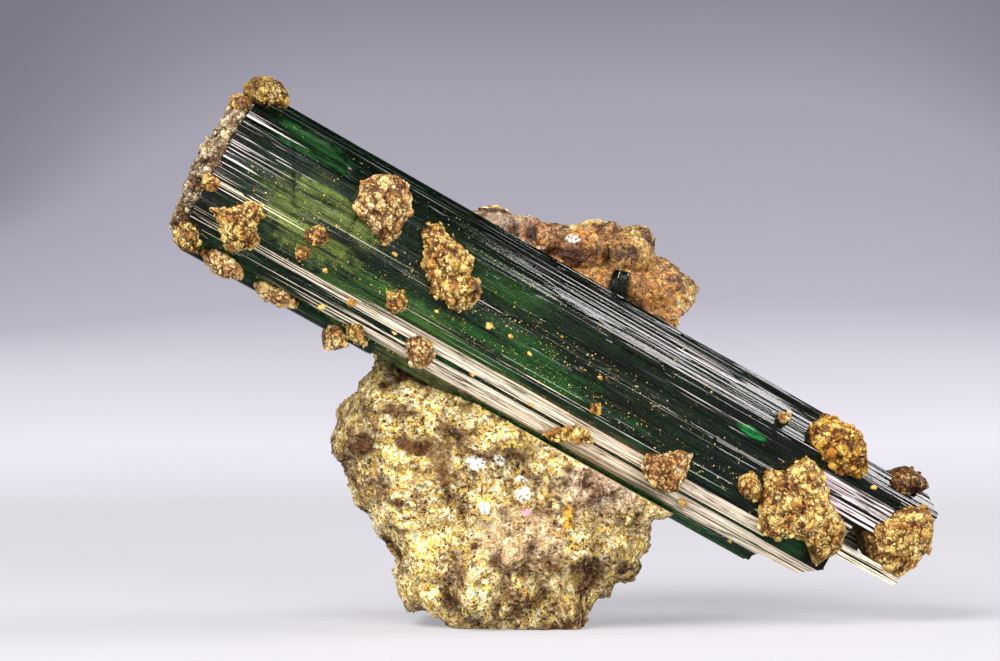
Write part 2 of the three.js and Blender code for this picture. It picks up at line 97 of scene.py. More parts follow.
# The lump of matrix seen from the front as [x, z], its middle and its depth before and behind it.
MATRIX_CENTRE = np.array([1.3, 4.5, 26.0])
MATRIX_OUTLINE = [
    [-17.6, 32], [-18.3, 30.7], [-19.5, 29.6], [-19.7, 28.3], [-21.5, 27], [-22.3, 25.9],
    [-22.2, 24.5], [-22.9, 22.4], [-22.8, 20.9], [-21.5, 19.7], [-20.6, 17.9], [-19.5, 16.2],
    [-18.3, 13.5], [-17.3, 11.1], [-16, 8.9], [-14.9, 7.6], [-15.5, 6.1], [-14.3, 4], [-13.2, 2.2],
    [-10.8, 2.4], [-9, 0.9], [-7.8, -4.6], [7.2, -5], [8.3, 1], [9.4, 3.4], [10.9, 4.3], [11.2, 5.6],
    [13.2, 5.6], [14.4, 7.3], [14.1, 8.4], [15.5, 9.3], [15.9, 12.6], [16.6, 16], [16, 20], [16, 29],
    [17.8, 33], [18.7, 36.1], [19.3, 36.9], [19.4, 38.3], [20.7, 38.3], [21.2, 39.1], [21.7, 40.6],
    [21.2, 42], [20.3, 42.7], [19.6, 43.7], [18.5, 44.6], [16.7, 45.1], [16.5, 46.8], [15.2, 47.9],
    [13.6, 47.9], [12.1, 47.7], [11.2, 48.6], [9.4, 48.9], [7.4, 48.5], [6, 48.1], [3.4, 48.5],
    [1.2, 49.6], [-0.3, 49.8], [-1.6, 50.7], [-3.2, 50.9], [-4.5, 50.9], [-5.7, 50.5], [-9.5, 43],
    [-14, 36.5],
]
MATRIX_DEPTH = {"front": 14.5, "front_at_top": 5.5, "back": 14.0, "back_at_top": 10.0}
MATRIX_FULLNESS = 0.62
KNOB_CENTRE = np.array([11.5, -4.5, 17.0])
KNOB_OUTLINE = [
    [-7.4, 4.1], [-5.1, 4.3], [-1, 3.7], [1.3, 2.4], [2.4, 0.1], [4.6, -0.8], [7.4, -2.4],
    [7.3, -3.3], [4.3, -4], [3.3, -5.5], [0.2, -5.6], [-4.3, -4.1], [-7.1, 0.8],
]
KNOB_DEPTH = {"front": 5.4, "back": 8.0}
KNOB_STEPS = 90
# Rounded lobes on the upper part of the matrix: middle, half width, half height and rise.
MATRIX_LOBES = [
    ((13.4, 1.2, 45.0), 2.9, 2.5, 2.6), ((17.6, 1.4, 40.2), 3.0, 2.8, 2.6),
    ((7.6, 0.6, 45.2), 3.2, 2.8, 2.8), ((2.4, 1.0, 46.6), 2.6, 2.2, 2.4),
    ((-3.4, 0.8, 48.6), 2.6, 1.6, 2.2), ((12.2, -0.8, 40.0), 3.4, 3.0, 2.6),
]
LOBE_FULLNESS = 0.9
# What lies before the matrix's upper part, as [along, up], is cut away down to this depth.
IN_FRONT_OUTLINE = [[-10, -9.5], [110, -9.5], [110, 40], [-10, 40]]
MATRIX_FRONT_BEHIND = 1.6
# The bed that the crystal lies in: its gap round the section, and where it starts and ends along.
BED_GAP = 0.12
BED_SPAN = (-5, 105)
# Hollows and swellings on the matrix's front, as (x, z, half width, height), deep ones negative.
MATRIX_FORMS = [
    (-9.5, 20.9, 1.7, -1.7), (-12.4, 19.0, 1.0, -0.9), (8.0, 6.9, 2.0, -2.4), (7.8, 17.7, 0.6, -1.0),
    (-5.4, 10.2, 0.6, -0.8), (-16.6, 15.6, 1.0, -0.8), (-6.5, 26.6, 1.6, -0.9), (5.4, 17.2, 0.8, -0.9),
    (4.6, 21.0, 0.9, -0.8), (11.8, 12.9, 1.2, -1.0), (2.5, 24.6, 1.3, -0.8), (-14.0, 6.9, 1.2, -0.9),
    (-1.1, 22.9, 1.9, 1.6), (-14.3, 25.4, 2.6, 1.8), (-3.8, 5.0, 3.6, 1.9), (12.0, 9.6, 2.4, 1.6),
    (2.0, 10.8, 2.8, 1.5), (-11.8, 3.6, 2.4, 1.6), (-6.2, 15.4, 2.6, 1.4), (11.2, 17.8, 2.2, 1.2),
]

# Grains of the matrix and of the clusters: size, height of the dome, step at its edge, darkness of
# the painted shade in the crease round it.
MATRIX_GRAINS = [(6.2, 1.7, 2.4, 1.0), (2.7, 0.9, 1.2, 0.9), (1.2, 0.4, 0.6, 0.7), (0.55, 0.16, 0.24, 0.4)]
CLUSTER_GRAINS = [(1.9, 0.4, 0.5, 1.0), (0.9, 0.2, 0.3, 1.0), (0.45, 0.1, 0.14, 0.8)]

# The growth lines: the widths of their strips with the chance of each, and how far a line runs along
# and across the crystal before it fades into another.
STRIP_WIDTHS = [0.16, 0.25, 0.5, 1.1]
STRIP_CHANCES = [0.35, 0.35, 0.2, 0.1]
LINE_RUN = 9.0
LINE_SPREAD = 1.3

# The mica clusters: middle [along, up], how far the middle is in front of the axis, how far the
# cluster stands out and sinks in, and its outline as [along, up] from the middle.
CLUSTERS = {
    "mica_corner_book": ([1.3, 10.2], 0, 2.6, 3, [
        [-2.7, -0.6], [-2, 0.8], [-0.7, 1.5], [0.5, 1.8], [1.8, 1.3], [2.7, 0.1], [1.9, -0.9], [0.5, -1.6],
        [-0.7, -1.8], [-2.2, -1.4]]),
    "mica_corner_small": ([-1, 7.4], 1.5, 1.8, 2.5, [
        [-1.3, 0.4], [-0.6, 1.2], [1, 1.2], [1.3, 0.4], [0.7, -0.6], [-0.5, -1.2], [-1, -0.7]]),
    "mica_end_crust": ([0, -1.2], 0, 5.9, 9, [
        [-1.4, 8], [0, 9], [1, 8.4], [1.2, 0], [1, -6.6], [0, -7.8], [-0.8, -7.2], [-1, -3], [-1.5, 0.5],
        [-1.3, 4]]),
    "mica_end_patch": ([-0.1, -2.1], 6, 0.9, 1.5, [
        [-1.1, 1.1], [0.9, 0.8], [1.1, -0.4], [-0.1, -1.1], [-1.1, -0.6]]),
    "mica_foot_crust": ([1, -8.6], 2.6, 2.2, 4, [
        [-2.2, 2], [-0.7, 1.9], [1, 0.9], [1.2, -0.2], [2.2, -1.2], [0.4, -1.8], [-0.8, -1.4], [-1.6, 0]]),
    "mica_left_star": ([4.5, -4.5], 6.1, 2.3, 1.4, [
        [-3.5, 0], [-1.9, 0.6], [-0.5, 1.7], [0.5, 2.9], [1.8, 3], [2.5, 2.1], [2.1, 0.6], [3.5, -0.6],
        [2.9, -1.9], [1.8, -2.6], [0.3, -3], [-0.5, -2.3], [-1.2, -1.1]]),
    "mica_left_edge": ([6.3, -9.5], 1.4, 2.7, 3.4, [
        [-2.8, 0.3], [-2.3, 1.2], [-0.3, 1.3], [2.3, 0.7], [2.8, -0.3], [1.2, -1.1], [-0.6, -1.3],
        [-2, -0.7]]),
    "mica_edge_strip": ([13.6, -9.7], 1.2, 1.5, 2.2, [
        [-2.9, -0.1], [-1.6, 0.7], [1.3, 0.8], [2.9, 0.6], [2.9, -0.4], [1.3, -0.8], [-1.6, -0.9]]),
    "mica_round_upper": ([13.5, -1.3], 6.3, 1.4, 1, [
        [-1.4, -0.1], [-0.3, 1.2], [1.1, 0.7], [1.4, -0.3], [0.4, -1.2], [-1.1, -0.9]]),
    "mica_round_lower": ([12.9, -3.9], 6.3, 0.9, 1, [
        [-0.9, 0], [-0.1, 1], [0.9, 0.7], [0.9, -0.5], [-0.1, -1]]),
    "mica_upper_left": ([18.6, 5.4], 5, 3.6, 3.4, [
        [-3.4, 1.1], [-2, 2.7], [-0.2, 3.8], [0.9, 3.7], [2.1, 2.7], [3.2, 0.8], [3, -0.9], [3.4, -2.4],
        [2.4, -3.8], [0.9, -3.2], [-1.7, -2.4], [-2.9, -1.5], [-3.2, -0.1]]),
    "mica_slanting": ([29, 2.9], 6, 2.7, 1.8, [
        [-4.8, 1.9], [-4.2, 3.5], [-3.4, 4.1], [-2.2, 2.9], [-0.8, 2.8], [1.4, 2.5], [2.1, 1.5], [1.8, 0.4],
        [3.9, 0.3], [4.7, -0.7], [4.8, -2.2], [3.6, -3.9], [2.4, -4.1], [1.1, -3.3], [-0.5, -3.6],
        [-1.1, -2.5], [-2.6, -1.3], [-3.4, 0.4]]),
    "mica_pale_centre": ([25.3, -3.6], 6.3, 1.5, 1, [
        [-1.5, 0.6], [0, 1.5], [0.9, 1], [1.5, -0.3], [0.4, -1.5], [-0.6, -0.8]]),
    "mica_lower_centre": ([31.1, -7.4], 4.3, 2.2, 2.5, [
        [-1.9, 1.1], [-1.4, 1.8], [0.5, 1.9], [1.9, 0.5], [1.6, -0.9], [0.4, -1.9], [-1.4, -0.5]]),
    "mica_lower_small": ([24, -8.9], 2.8, 1.4, 2, [
        [-1.5, 0.1], [-0.7, 1.3], [0, 1], [0.7, 0], [1.5, -0.8], [0.7, -1.3], [-0.7, -1.1]]),
    "mica_under_edge": ([22.5, -10.9], 0.8, 1.7, 2.2, [
        [-1.8, 1], [-0.5, 1.6], [0.4, 1.1], [1.8, 0.1], [0.7, -0.9], [-0.5, -1.6], [-1.4, -0.4]]),
    "mica_orange_crumb": ([52.7, -2.9], 6.4, 0.8, 0.8, [
        [-0.7, 0], [0.2, 0.8], [0.7, 0], [0.2, -0.8], [-0.5, -0.4]]),
    "mica_thin_flakes": ([52.2, -7.2], 4.6, 1.1, 2, [
        [-2.9, -1.5], [-1.8, -0.1], [-0.2, 1.5], [2.5, 1.2], [2.9, 0.4], [0.3, -0.6], [-1.8, -1.8]]),
    "mica_horned": ([63.9, -4.9], 5.8, 2.9, 2.6, [
        [-2.7, 0.4], [-1.1, 0.8], [0.2, 2.3], [2.2, 2.8], [2.1, 1.4], [2.7, -0.4], [2.4, -2.2], [1, -2.8],
        [-0.8, -2.5], [-2.3, -1.3]]),
    "mica_top_crumb": ([74.5, 7.1], 4.8, 1.1, 1.5, [
        [-0.8, 0.4], [0.2, 0.8], [0.8, -0.1], [0, -0.8], [-0.8, -0.5]]),
    "mica_upper_right": ([82.8, 7.3], 3.4, 4.2, 5.2, [
        [-4.6, 0.5], [-2.8, 2.9], [-0.5, 2.9], [2, 1.9], [3.6, 0.1], [4.6, -1.1], [3.3, -2.5], [1.4, -2.9],
        [-1.2, -2.4], [-3.8, -1.3]]),
    "mica_great_cluster": ([81.7, -1.1], 5.8, 4.4, 2.4, [
        [-6.5, 1.7], [-4.4, 2.7], [-3.6, 4.2], [-2.8, 5.4], [-1.2, 5.1], [0.7, 3.8], [1.8, 2.1], [3.9, 1.2],
        [5.8, -0.3], [6.5, -2.1], [5.5, -4.2], [4.9, -5.4], [2.6, -3.3], [0, -3.3], [-1.2, -4.8],
        [-3.1, -5.2], [-4.6, -3.6], [-5.4, -1.2], [-6.3, 0.6]]),
    "mica_beside_great": ([74.3, -2], 6.3, 1.7, 1.2, [
        [-1.7, 0.3], [-0.6, 1.7], [1.3, 0.6], [1.7, -0.9], [0.2, -1.7], [-1.3, -1]]),
    "mica_dark_end": ([92.8, 7.6], 2.6, 3, 3.6, [
        [-2.9, -0.8], [-1.1, 0.7], [-0.2, 1.9], [2.1, 1.6], [2.9, 0.9], [2.1, -0.2], [0.8, -0.9],
        [-0.5, -1.9], [-2.3, -1.6]]),
    "mica_right_end": ([94.5, 1.4], 4, 4.4, 7, [
        [-1.9, 2.9], [-0.3, 4.3], [1.4, 4.8], [2.9, 3.9], [3.7, 2], [3.7, -1.9], [2.4, -4.8], [0.7, -4.7],
        [-1.6, -3.8], [-3.2, -1.9], [-3.7, -0.1], [-2.2, 1.4]]),
}
CLUSTER_FULLNESS = 0.7
# The cluster that covers the slanting left end is flatter than the others, and turned with that end.
END_CRUST = "mica_end_crust"
END_CRUST_FULLNESS = 0.45
# Loose mica plates and stacks on a cluster: least size and how much larger the largest are,
# thickness, stacks for each square millimetre, their least and largest size, the plates in a stack
# and how far apart they are, corners, how far both lean and how deep a stack starts.
PLATE_SIZES = (0.1, 0.34)
PLATE_THICKNESS = 0.05
BOOKS_PER_AREA = 0.3
BOOK_SIZES = (0.35, 0.9)
BOOK_LAYERS = 5
BOOK_GAP = 0.11
PLATE_SIDES = 6
PLATE_TILT = 0.45
BOOK_TILT = 0.6
BOOK_DEPTH = 0.2
# Flakes on the matrix: corners, least size and how much larger the largest are, thickness as a share
# of the size, how far they lean and how low they lie.
FLAKE_SIDES = 5
FLAKE_SIZES = (0.1, 0.3)
FLAKE_THICKNESS = 0.45
FLAKE_TILT = 0.55
LOWEST_FLAKE = 0.4

# The stubby tourmaline behind the long one's upper edge, and the rings of its rounded tip as shares
# of its length and of its radius.
SMALL_CRYSTAL = {"at": [50.2, 1.2, 10.9], "radius": 1.35, "length": 4.4, "lean_deg": -18.0}
SMALL_CRYSTAL_RINGS = [(0, 1.0), (0.7, 0.97), (0.84, 0.94), (0.97, 0.78), (1, 0.7)]
SMALL_CRYSTAL_POINTS = 36

# Small crumbs on the crystal, as (along, up, half width), the corners of their outline and the grid
# steps across them, and how far back the front of the crystal's section is at six ups.
CRUMBS = [
    (21.1, -6.1, 0.6), (18.7, -8.3, 0.45), (38, -6.6, 0.3), (36.6, -0.6, 0.5), (39.5, -0.5, 0.3),
    (68.7, -7.7, 0.6), (77.1, -9.1, 0.3), (22.6, 1.2, 0.35), (24.5, 6.2, 0.3), (16.4, -4.4, 0.3),
    (42.5, -1.2, 0.3), (51.5, 0.4, 0.3), (46, -6.3, 0.35), (88.5, 5.2, 0.4), (27.5, -6.8, 0.3),
    (30.2, -2.2, 0.25),
]
CRUMB_CORNERS = 9
CRUMB_STEPS = 14
FRONT_UPS = [-10.2, -8.4, -4.5, 5.8, 8.6, 10.1]
FRONT_DEPTHS = [0, -3.4, -6.6, -5.8, -3.2, -0.5]
# Golden dust: where it starts and ends along the crystal, its least size and how much larger the
# largest specks are, how far it reaches at three ups, and its middle and spread along and up.
DUST_START = 3
DUST_END = 92
DUST_SIZES = (0.035, 0.11)
DUST_END_UPS = [-7, -4, -1]
DUST_ENDS = [76.5, 79, 86]
DUST_ALONG = (42, 16)
DUST_UP = (-1, 4.5)

# Where the random numbers of each kind of piece start.
MATRIX_SEED = 40
KNOB_SEED = 60
CLUSTER_SEED = 70
LOBE_SEED = 80
CRUMB_SEED = 400

# Large whole numbers that scramble the place of a cell into a random value.
CELL_PRIMES = (73856093, 19349663, 83492791)
SEED_PRIME = 374761393
MIXING_PRIME = 668265263
LOW_BITS = 0x7FFFFFFF


def srgb(red, green, blue):
    """A colour picked on a 0 to 255 screen scale, as the linear values that a shader takes."""
    values = [channel / 255 for channel in (red, green, blue)]
    return tuple(v / 12.92 if v <= 0.04045 else ((v + 0.055) / 1.055) ** 2.4 for v in values) + (1.0,)


def smooth(values, start, end):
    """0 before start, 1 after end, and an even S-shaped rise between them: 3 s^2 - 2 s^3."""
    share = np.clip((values - start) / (end - start), 0, 1)
    return share * share * (3 - 2 * share)


def cell_values(cells, seed):
    """A repeatable random value from 0 to 1 for each whole-numbered cell."""
    first, second, third = (cells[..., i] * prime for i, prime in enumerate(CELL_PRIMES))
    mixed = (first ^ second ^ third) + seed * SEED_PRIME & LOW_BITS
    for shift in (15, 13):
        mixed = (mixed ^ mixed >> shift) * MIXING_PRIME & LOW_BITS
    return (mixed ^ mixed >> 16) / LOW_BITS


def value_noise(points, size, seed):
    """Smoothly mixed random values at the corners of a lattice of this size, from -1 to 1."""
    places = np.asarray(points, dtype=float) / size
    cells = np.floor(places).astype(np.int64)
    share = places - cells
    share = share * share * (3 - 2 * share)
    total = 0
    for corner in np.ndindex(2, 2, 2):
        weight = np.prod(np.where(corner, share, 1 - share), axis=-1)
        total = total + weight * cell_values(cells + np.array(corner), seed)
    return total * 2 - 1


def grain_noise(points, size, seed):
    """For one random grain centre in each lattice cell: the distance to the nearest centre, how much
    further the next one is, both over the cell's size, and a random value of the nearest grain."""
    places = np.asarray(points, dtype=float) / size
    cells = np.floor(places).astype(np.int64)
    nearest = np.full(len(places), 9.0)
    second = np.full(len(places), 9.0)
    value = np.zeros(len(places))
    for step in np.ndindex(3, 3, 3):
        cell = cells + np.array(step) - 1
        grain = cell + np.stack([cell_values(cell, seed + i) for i in range(3)], axis=-1)
        distance = np.linalg.norm(places - grain, axis=-1)
        closer = distance < nearest
        second = np.where(closer, nearest, np.minimum(second, distance))
        value = np.where(closer, cell_values(cell, seed + 7), value)
        nearest = np.where(closer, distance, nearest)
    return nearest, second - nearest, value


def grain_relief(points, grains, seed):
    """Rounded grains of several sizes with creases between them, on slightly bent coordinates.

    Each (size, dome, step, dark) adds dome * (0.5 - d * d) + step * (v - 0.5) * e, where d is the
    distance from the grain's middle, v its random value and e rises from 0 at its crease to 1 inside.
    Returns that height and how dark the painted shade in the crease at the place is, from 0 to 1."""
    bend = np.stack([value_noise(points, 2.1, seed + 90 + i) for i in range(3)], axis=-1)
    bent = points + bend * 0.5
    push = np.zeros(len(points))
    crease_shade = np.zeros(len(points))
    for size, dome, step, dark in grains:
        nearest, border, value = grain_noise(bent, size, seed + int(size * 10))
        inside = smooth(border, 0.0, 0.24)
        push += dome * (0.5 - nearest * nearest) + step * (value - 0.5) * inside
        crease_shade = np.maximum(crease_shade, dark * (1 - smooth(border, 0.02, 0.2)))
    return push, crease_shade


def on_row(points):
    """Turns along, back and up places on the crystal into the object's own frame."""
    return points @ CRYSTAL_AXES.T + LEFT_END


def reach_of(outline, angles):
    """How far an outline about its middle reaches at each angle, by crossing rays with its sides."""
    table = np.linspace(-math.pi, math.pi, 1441)
    ray = np.stack([np.cos(table), np.sin(table)], axis=-1)[:, None]
    start = np.asarray(outline, dtype=float)[None]
    side = np.roll(start, -1, axis=1) - start
    across = ray[..., 0] * side[..., 1] - ray[..., 1] * side[..., 0]
    across = np.where(np.abs(across) < 1e-9, 1e-9, across)
    distance = (start[..., 0] * side[..., 1] - start[..., 1] * side[..., 0]) / across
    share = (start[..., 0] * ray[..., 1] - start[..., 1] * ray[..., 0]) / across
    hit = (distance > 0) & (share >= -1e-6) & (share <= 1 + 1e-6)
    reach = np.where(hit, distance, 0).max(axis=1)
    turned = (angles + math.pi) % (2 * math.pi) - math.pi
    return np.interp(turned, table, reach)


def square_rings(steps):
    """Two numbers a and b from -1 to 1 on a square grid, as the polar radius max(|a|, |b|) and the
    angle that runs evenly round each square ring."""
    a, b = np.meshgrid(np.linspace(-1, 1, steps + 1), np.linspace(-1, 1, steps + 1), indexing="ij")
    radius = np.maximum(np.abs(a), np.abs(b))
    wide = np.abs(a) >= np.abs(b)
    longer = np.where(wide, a, b)
    longer = np.where(longer == 0, 1.0, longer)
    share = np.where(wide, b, a) / longer
    angle = np.where(wide, share * math.pi / 4, math.pi / 2 - share * math.pi / 4)
    return radius, angle + np.where(longer < 0, math.pi, 0)


def grid_quads(index):
    """The quads between the neighbouring rows and columns of a table of corner numbers."""
    return np.stack([index[:-1, :-1], index[:-1, 1:], index[1:, 1:], index[1:, :-1]], axis=-1).reshape(-1, 4)


def tube_quads(rings, count):
    """The quads of a tube of rings with this many corners each, and the corner numbers by ring."""
    index = np.arange(rings * count).reshape(rings, count)
    return grid_quads(np.column_stack([index, index[:, 0]])), index


def two_sheets(steps):
    """The quads of two square grids of corners that share their rims, the second one facing back."""
    count = steps + 1
    front = np.arange(count * count).reshape(count, count)
    back = front.copy()
    inner = (steps - 1) ** 2
    back[1:-1, 1:-1] = count * count + np.arange(inner).reshape(steps - 1, steps - 1)
    return grid_quads(front)[:, ::-1], grid_quads(back)


def pillow(outline, depth, fullness, steps, relief):
    """A closed cushion from two square sheets a, b that share their rims.

    A sheet point on ring r of the square takes the angle r * 90 degrees on a superellipse of power
    2 / fullness, whose two parts are the share of the outline's reach and the share of the depth.
    relief(points) then pushes each point along its own direction, a quarter as far at the rim."""
    radius, angle = square_rings(steps)
    power = 2 / fullness
    turn = radius * math.pi / 2
    flatness = np.sin(turn)
    standing = np.cos(turn)
    size = (np.abs(flatness) ** power + np.abs(standing) ** power) ** (1 / power)
    flatness = flatness / size
    standing = np.clip(standing / size, 0, None)
    flat = flatness ** (1 / fullness)
    out = standing ** (1 / fullness)
    even = np.mean([reach_of(outline, angle + step) for step in (-0.5, -0.25, 0, 0.25, 0.5)], axis=0)
    edge = even + (reach_of(outline, angle) - even) * flat ** 4
    top = smooth(flat * np.sin(angle), -0.2, 0.8)
    sheets = []
    for face, sign in (("front", -1), ("back", 1)):
        deep = depth[face] + (depth.get(face + "_at_top", depth[face]) - depth[face]) * top
        points = np.stack([
            edge * flatness * np.cos(angle), sign * deep * standing, edge * flatness * np.sin(angle),
        ], axis=-1)
        heading = np.stack([flat * np.cos(angle), sign * out, flat * np.sin(angle)], axis=-1)
        heading /= np.linalg.norm(heading, axis=-1, keepdims=True)
        push = relief(points.reshape(-1, 3)).reshape(angle.shape)
        points = points + heading * (push * (0.25 + 0.75 * out))[..., None]
        sheets.append(points)
    front, back = sheets
    corners = np.concatenate([front.reshape(-1, 3), back[1:-1, 1:-1].reshape(-1, 3)])
    return corners, two_sheets(steps)


def filled_mesh(name, corners, face_sets):
    """A mesh from an array of corners in millimetres and arrays of faces with 3 or more corners."""
    mesh = bpy.data.meshes.new(name)
    order = np.concatenate([faces.ravel() for faces in face_sets])
    sizes = np.concatenate([np.full(len(faces), faces.shape[1]) for faces in face_sets])
    mesh.vertices.add(len(corners))
    mesh.vertices.foreach_set("co", (corners * MM).astype(np.float32).ravel())
    mesh.loops.add(len(order))
    mesh.loops.foreach_set("vertex_index", order.astype(np.int32))
    mesh.polygons.add(len(sizes))
    mesh.polygons.foreach_set("loop_start", (np.cumsum(sizes) - sizes).astype(np.int32))
    mesh.update(calc_edges=True)
    return mesh


def shown(name, data):
    """Puts a mesh, lamp or camera into the scene as an object at the origin."""
    thing = bpy.data.objects.new(name, data)
    bpy.context.scene.collection.objects.link(thing)
    return thing


def carve(thing, cutters):
    """Joins or cuts an object with closed meshes, given as (operation, corners, face sets)."""
    for operation, corners, faces in cutters:
        tool = shown("cutter", filled_mesh("cutter", corners, faces))
        step = thing.modifiers.new("carve", "BOOLEAN")
        step.solver = "MANIFOLD"
        step.operation = operation
        step.object = tool
        result = bpy.data.meshes.new_from_object(thing.evaluated_get(bpy.context.evaluated_depsgraph_get()))
        thing.modifiers.clear()
        old = thing.data
        thing.data = result
        bpy.data.meshes.remove(old)
        bpy.data.objects.remove(tool)
    if len(thing.data.polygons) == 0:
        raise ValueError(f"nothing is left of {thing.name} after carving")


def tint(mesh, name, values):
    """Stores one number per corner of the mesh for its material to read."""
    layer = mesh.attributes.new(name, "FLOAT", "POINT")
    layer.data.foreach_set("value", np.asarray(values, dtype=np.float32))


def outward(corners, face_sets):
    """The faces of a closed mesh, turned round if they face in: its volume, summed over the fans of
    triangles about each face's first corner, is negative then."""
    volume = 0
    for faces in face_sets:
        first = corners[faces[:, 0]]
        for i in range(1, faces.shape[1] - 1):
            normals = np.cross(corners[faces[:, i]], corners[faces[:, i + 1]])
            volume += np.einsum("ij,ij->i", first, normals).sum()
    return [faces[:, ::-1] for faces in face_sets] if volume < 0 else list(face_sets)


def prism(outline, start, end, place):
    """A closed bar: the outline repeated at its start and its end, with a flat cap on both.
    place(outline points, distance) says where the outline's points are at each of the two."""
    points = np.asarray(outline, dtype=float)
    corners = np.concatenate([place(points, start), place(points, end)])
    sides, index = tube_quads(2, len(points))
    caps = np.stack([index[0][::-1], index[1]])
    return corners, outward(corners, [sides, caps])


def at_depth(points, depth):
    """Points of a front outline, [x, z] or [along, up], at one depth."""
    return np.column_stack([points[:, 0], np.full(len(points), depth), points[:, 1]])


def slab(outline, front, back):
    """A closed slab with an [along, up] outline on the crystal, from a front to a back depth."""
    return prism(outline, front, back, lambda points, depth: on_row(at_depth(points, depth)))


def bar(section, start, end):
    """A closed straight bar along the crystal with a [back, up] section."""
    def place(points, along):
        return on_row(np.column_stack([np.full(len(points), along), points]))
    return prism(section, start, end, place)


def slanting_end():
    """The wedge beyond the crystal's slanting left end, as a plan in [along, back]."""
    normal = math.radians(90 - LEFT_SLANT_DEG)
    middle = np.array(LEFT_SLANT_FROM)
    run = np.array([math.cos(normal), math.sin(normal)]) * BEYOND
    plan = [middle - run, middle + run, middle + run - [BEYOND, 0], middle - run - [BEYOND, 0]]

    def place(points, up):
        return on_row(np.column_stack([points, np.full(len(points), up)]))
    return prism(plan, -BEYOND, BEYOND, place)


def grown_outline(outline, distance):
    """A closed outline with each corner moved away from the middle by about one distance."""
    points = np.asarray(outline, dtype=float)
    middle = points.mean(axis=0)
    away = points - middle
    return points + away / np.linalg.norm(away, axis=1, keepdims=True) * distance


def ridge_profile(rng, length, count, height):
    """Growth lines as one height per step across the crystal: strips of random width and height, each
    with a small tilt of its own."""
    edges = [0.0]
    while edges[-1] < length:
        edges.append(edges[-1] + rng.choice(STRIP_WIDTHS, p=STRIP_CHANCES) * rng.uniform(0.7, 1.4))
    heights = height * rng.uniform(-1, 1, len(edges))
    tilts = height * rng.uniform(-0.5, 0.5, len(edges))
    at = np.linspace(0, length, count, endpoint=False)
    strip = np.searchsorted(edges, at, side="right") - 1
    widths = np.maximum(np.diff(edges + [edges[-1] + 1]), 0.1)
    inside = (at - np.array(edges)[strip]) / widths[strip] - 0.5
    return heights[strip] + tilts[strip] * inside


def long_crystal(ridge_height, across_steps, along_steps, seed):
    """The ridged bar: a point at share t round the section and s along the axis is the section's
    point moved out by a mix of three growth-line profiles, where the mix changes slowly with s and t,
    so that the lines fade in and out along the crystal."""
    rng = np.random.default_rng(seed)
    points = np.asarray(SECTION, dtype=float)
    sides = np.roll(points, -1, axis=0) - points
    lengths = np.linalg.norm(sides, axis=1)
    perimeter = lengths.sum()
    counts = np.maximum(2, np.round(across_steps * lengths / perimeter).astype(int))
    around = []
    outwards = []
    for point, side, length, count in zip(points, sides, lengths, counts):
        around.append(point + side * (np.arange(count)[:, None] / count))
        facing = np.array([-side[1], side[0]]) / length
        outwards.append(np.repeat(facing[None] if facing @ point > 0 else -facing[None], count, axis=0))
    around = np.concatenate(around)
    outwards = np.concatenate(outwards)
    outwards = outwards + np.roll(outwards, 1, axis=0)
    outwards /= np.linalg.norm(outwards, axis=1, keepdims=True)
    total = len(around)
    profiles = [ridge_profile(rng, perimeter, total, ridge_height) for _ in range(3)]
    along = np.linspace(CRYSTAL_START, CRYSTAL_END, along_steps)
    across = np.arange(total) * perimeter / total
    grid = np.stack(np.broadcast_arrays(along[:, None] / LINE_RUN, across[None] / LINE_SPREAD, 0.5), axis=-1)
    mix = smooth(value_noise(grid, 1.0, seed), -0.2, 0.2)
    grid[..., 2] = 7.5
    second = smooth(value_noise(grid, 1.0, seed + 1), 0.1, 0.4)
    height = profiles[0] * (1 - mix) + profiles[1] * mix
    height = height * (1 - second) + profiles[2] * second
    section = around[None] + outwards[None] * height[..., None]
    places = np.broadcast_to(along[:, None, None], section.shape[:2] + (1,))
    corners = on_row(np.concatenate([places, section], axis=-1).reshape(-1, 3))
    quads, index = tube_quads(along_steps, total)
    caps = np.stack([index[0][::-1], index[-1]])
    return corners, outward(corners, [quads, caps])


def plates(centres, normals, sizes, thickness, rng, sides=PLATE_SIDES):
    """Thin closed plates: each is an uneven polygon of this many sides about its centre, square to
    its normal and half a thickness out on either side, all made as one array."""
    count = len(centres)
    helper = rng.normal(size=(count, 3))
    first = np.cross(normals, helper)
    first /= np.linalg.norm(first, axis=1, keepdims=True)
    second = np.cross(normals, first)
    turn = np.linspace(0, 2 * math.pi, sides, endpoint=False) + rng.uniform(-0.25, 0.25, (count, sides))
    reach = sizes[:, None] * rng.uniform(0.75, 1.1, (count, sides))
    squeeze = rng.uniform(0.55, 1, (count, 1))
    flat = (first[:, None] * (np.cos(turn) * reach)[..., None]
            + second[:, None] * (np.sin(turn) * reach * squeeze)[..., None])
    lift = normals[:, None] * (np.broadcast_to(thickness, (count,)) / 2)[:, None, None]
    corners = np.concatenate([centres[:, None] + flat - lift, centres[:, None] + flat + lift], axis=1)
    base = np.arange(count)[:, None] * 2 * sides
    ring = np.arange(sides)
    after = (ring + 1) % sides
    walls = np.stack([ring, after, after + sides, ring + sides], axis=-1)
    walls = (base[:, None] + walls[None]).reshape(-1, 4)
    lower = base + ring[::-1][None]
    upper = base + sides + ring[None]
    return corners.reshape(-1, 3), [walls, np.concatenate([lower, upper])]


def books(places, normals, sizes, layers, gap, rng):
    """Stacks of plates: each stack repeats its place along its normal, a gap further for each layer,
    with sizes that shrink to two thirds at the top."""
    lift = np.arange(layers) * gap
    centres = places[:, None] + normals[:, None] * lift[None, :, None]
    shrink = 1 - np.arange(layers) / layers / 3
    return plates(
        centres.reshape(-1, 3), np.repeat(normals, layers, axis=0), (sizes[:, None] * shrink).ravel(),
        gap * 0.7, rng)


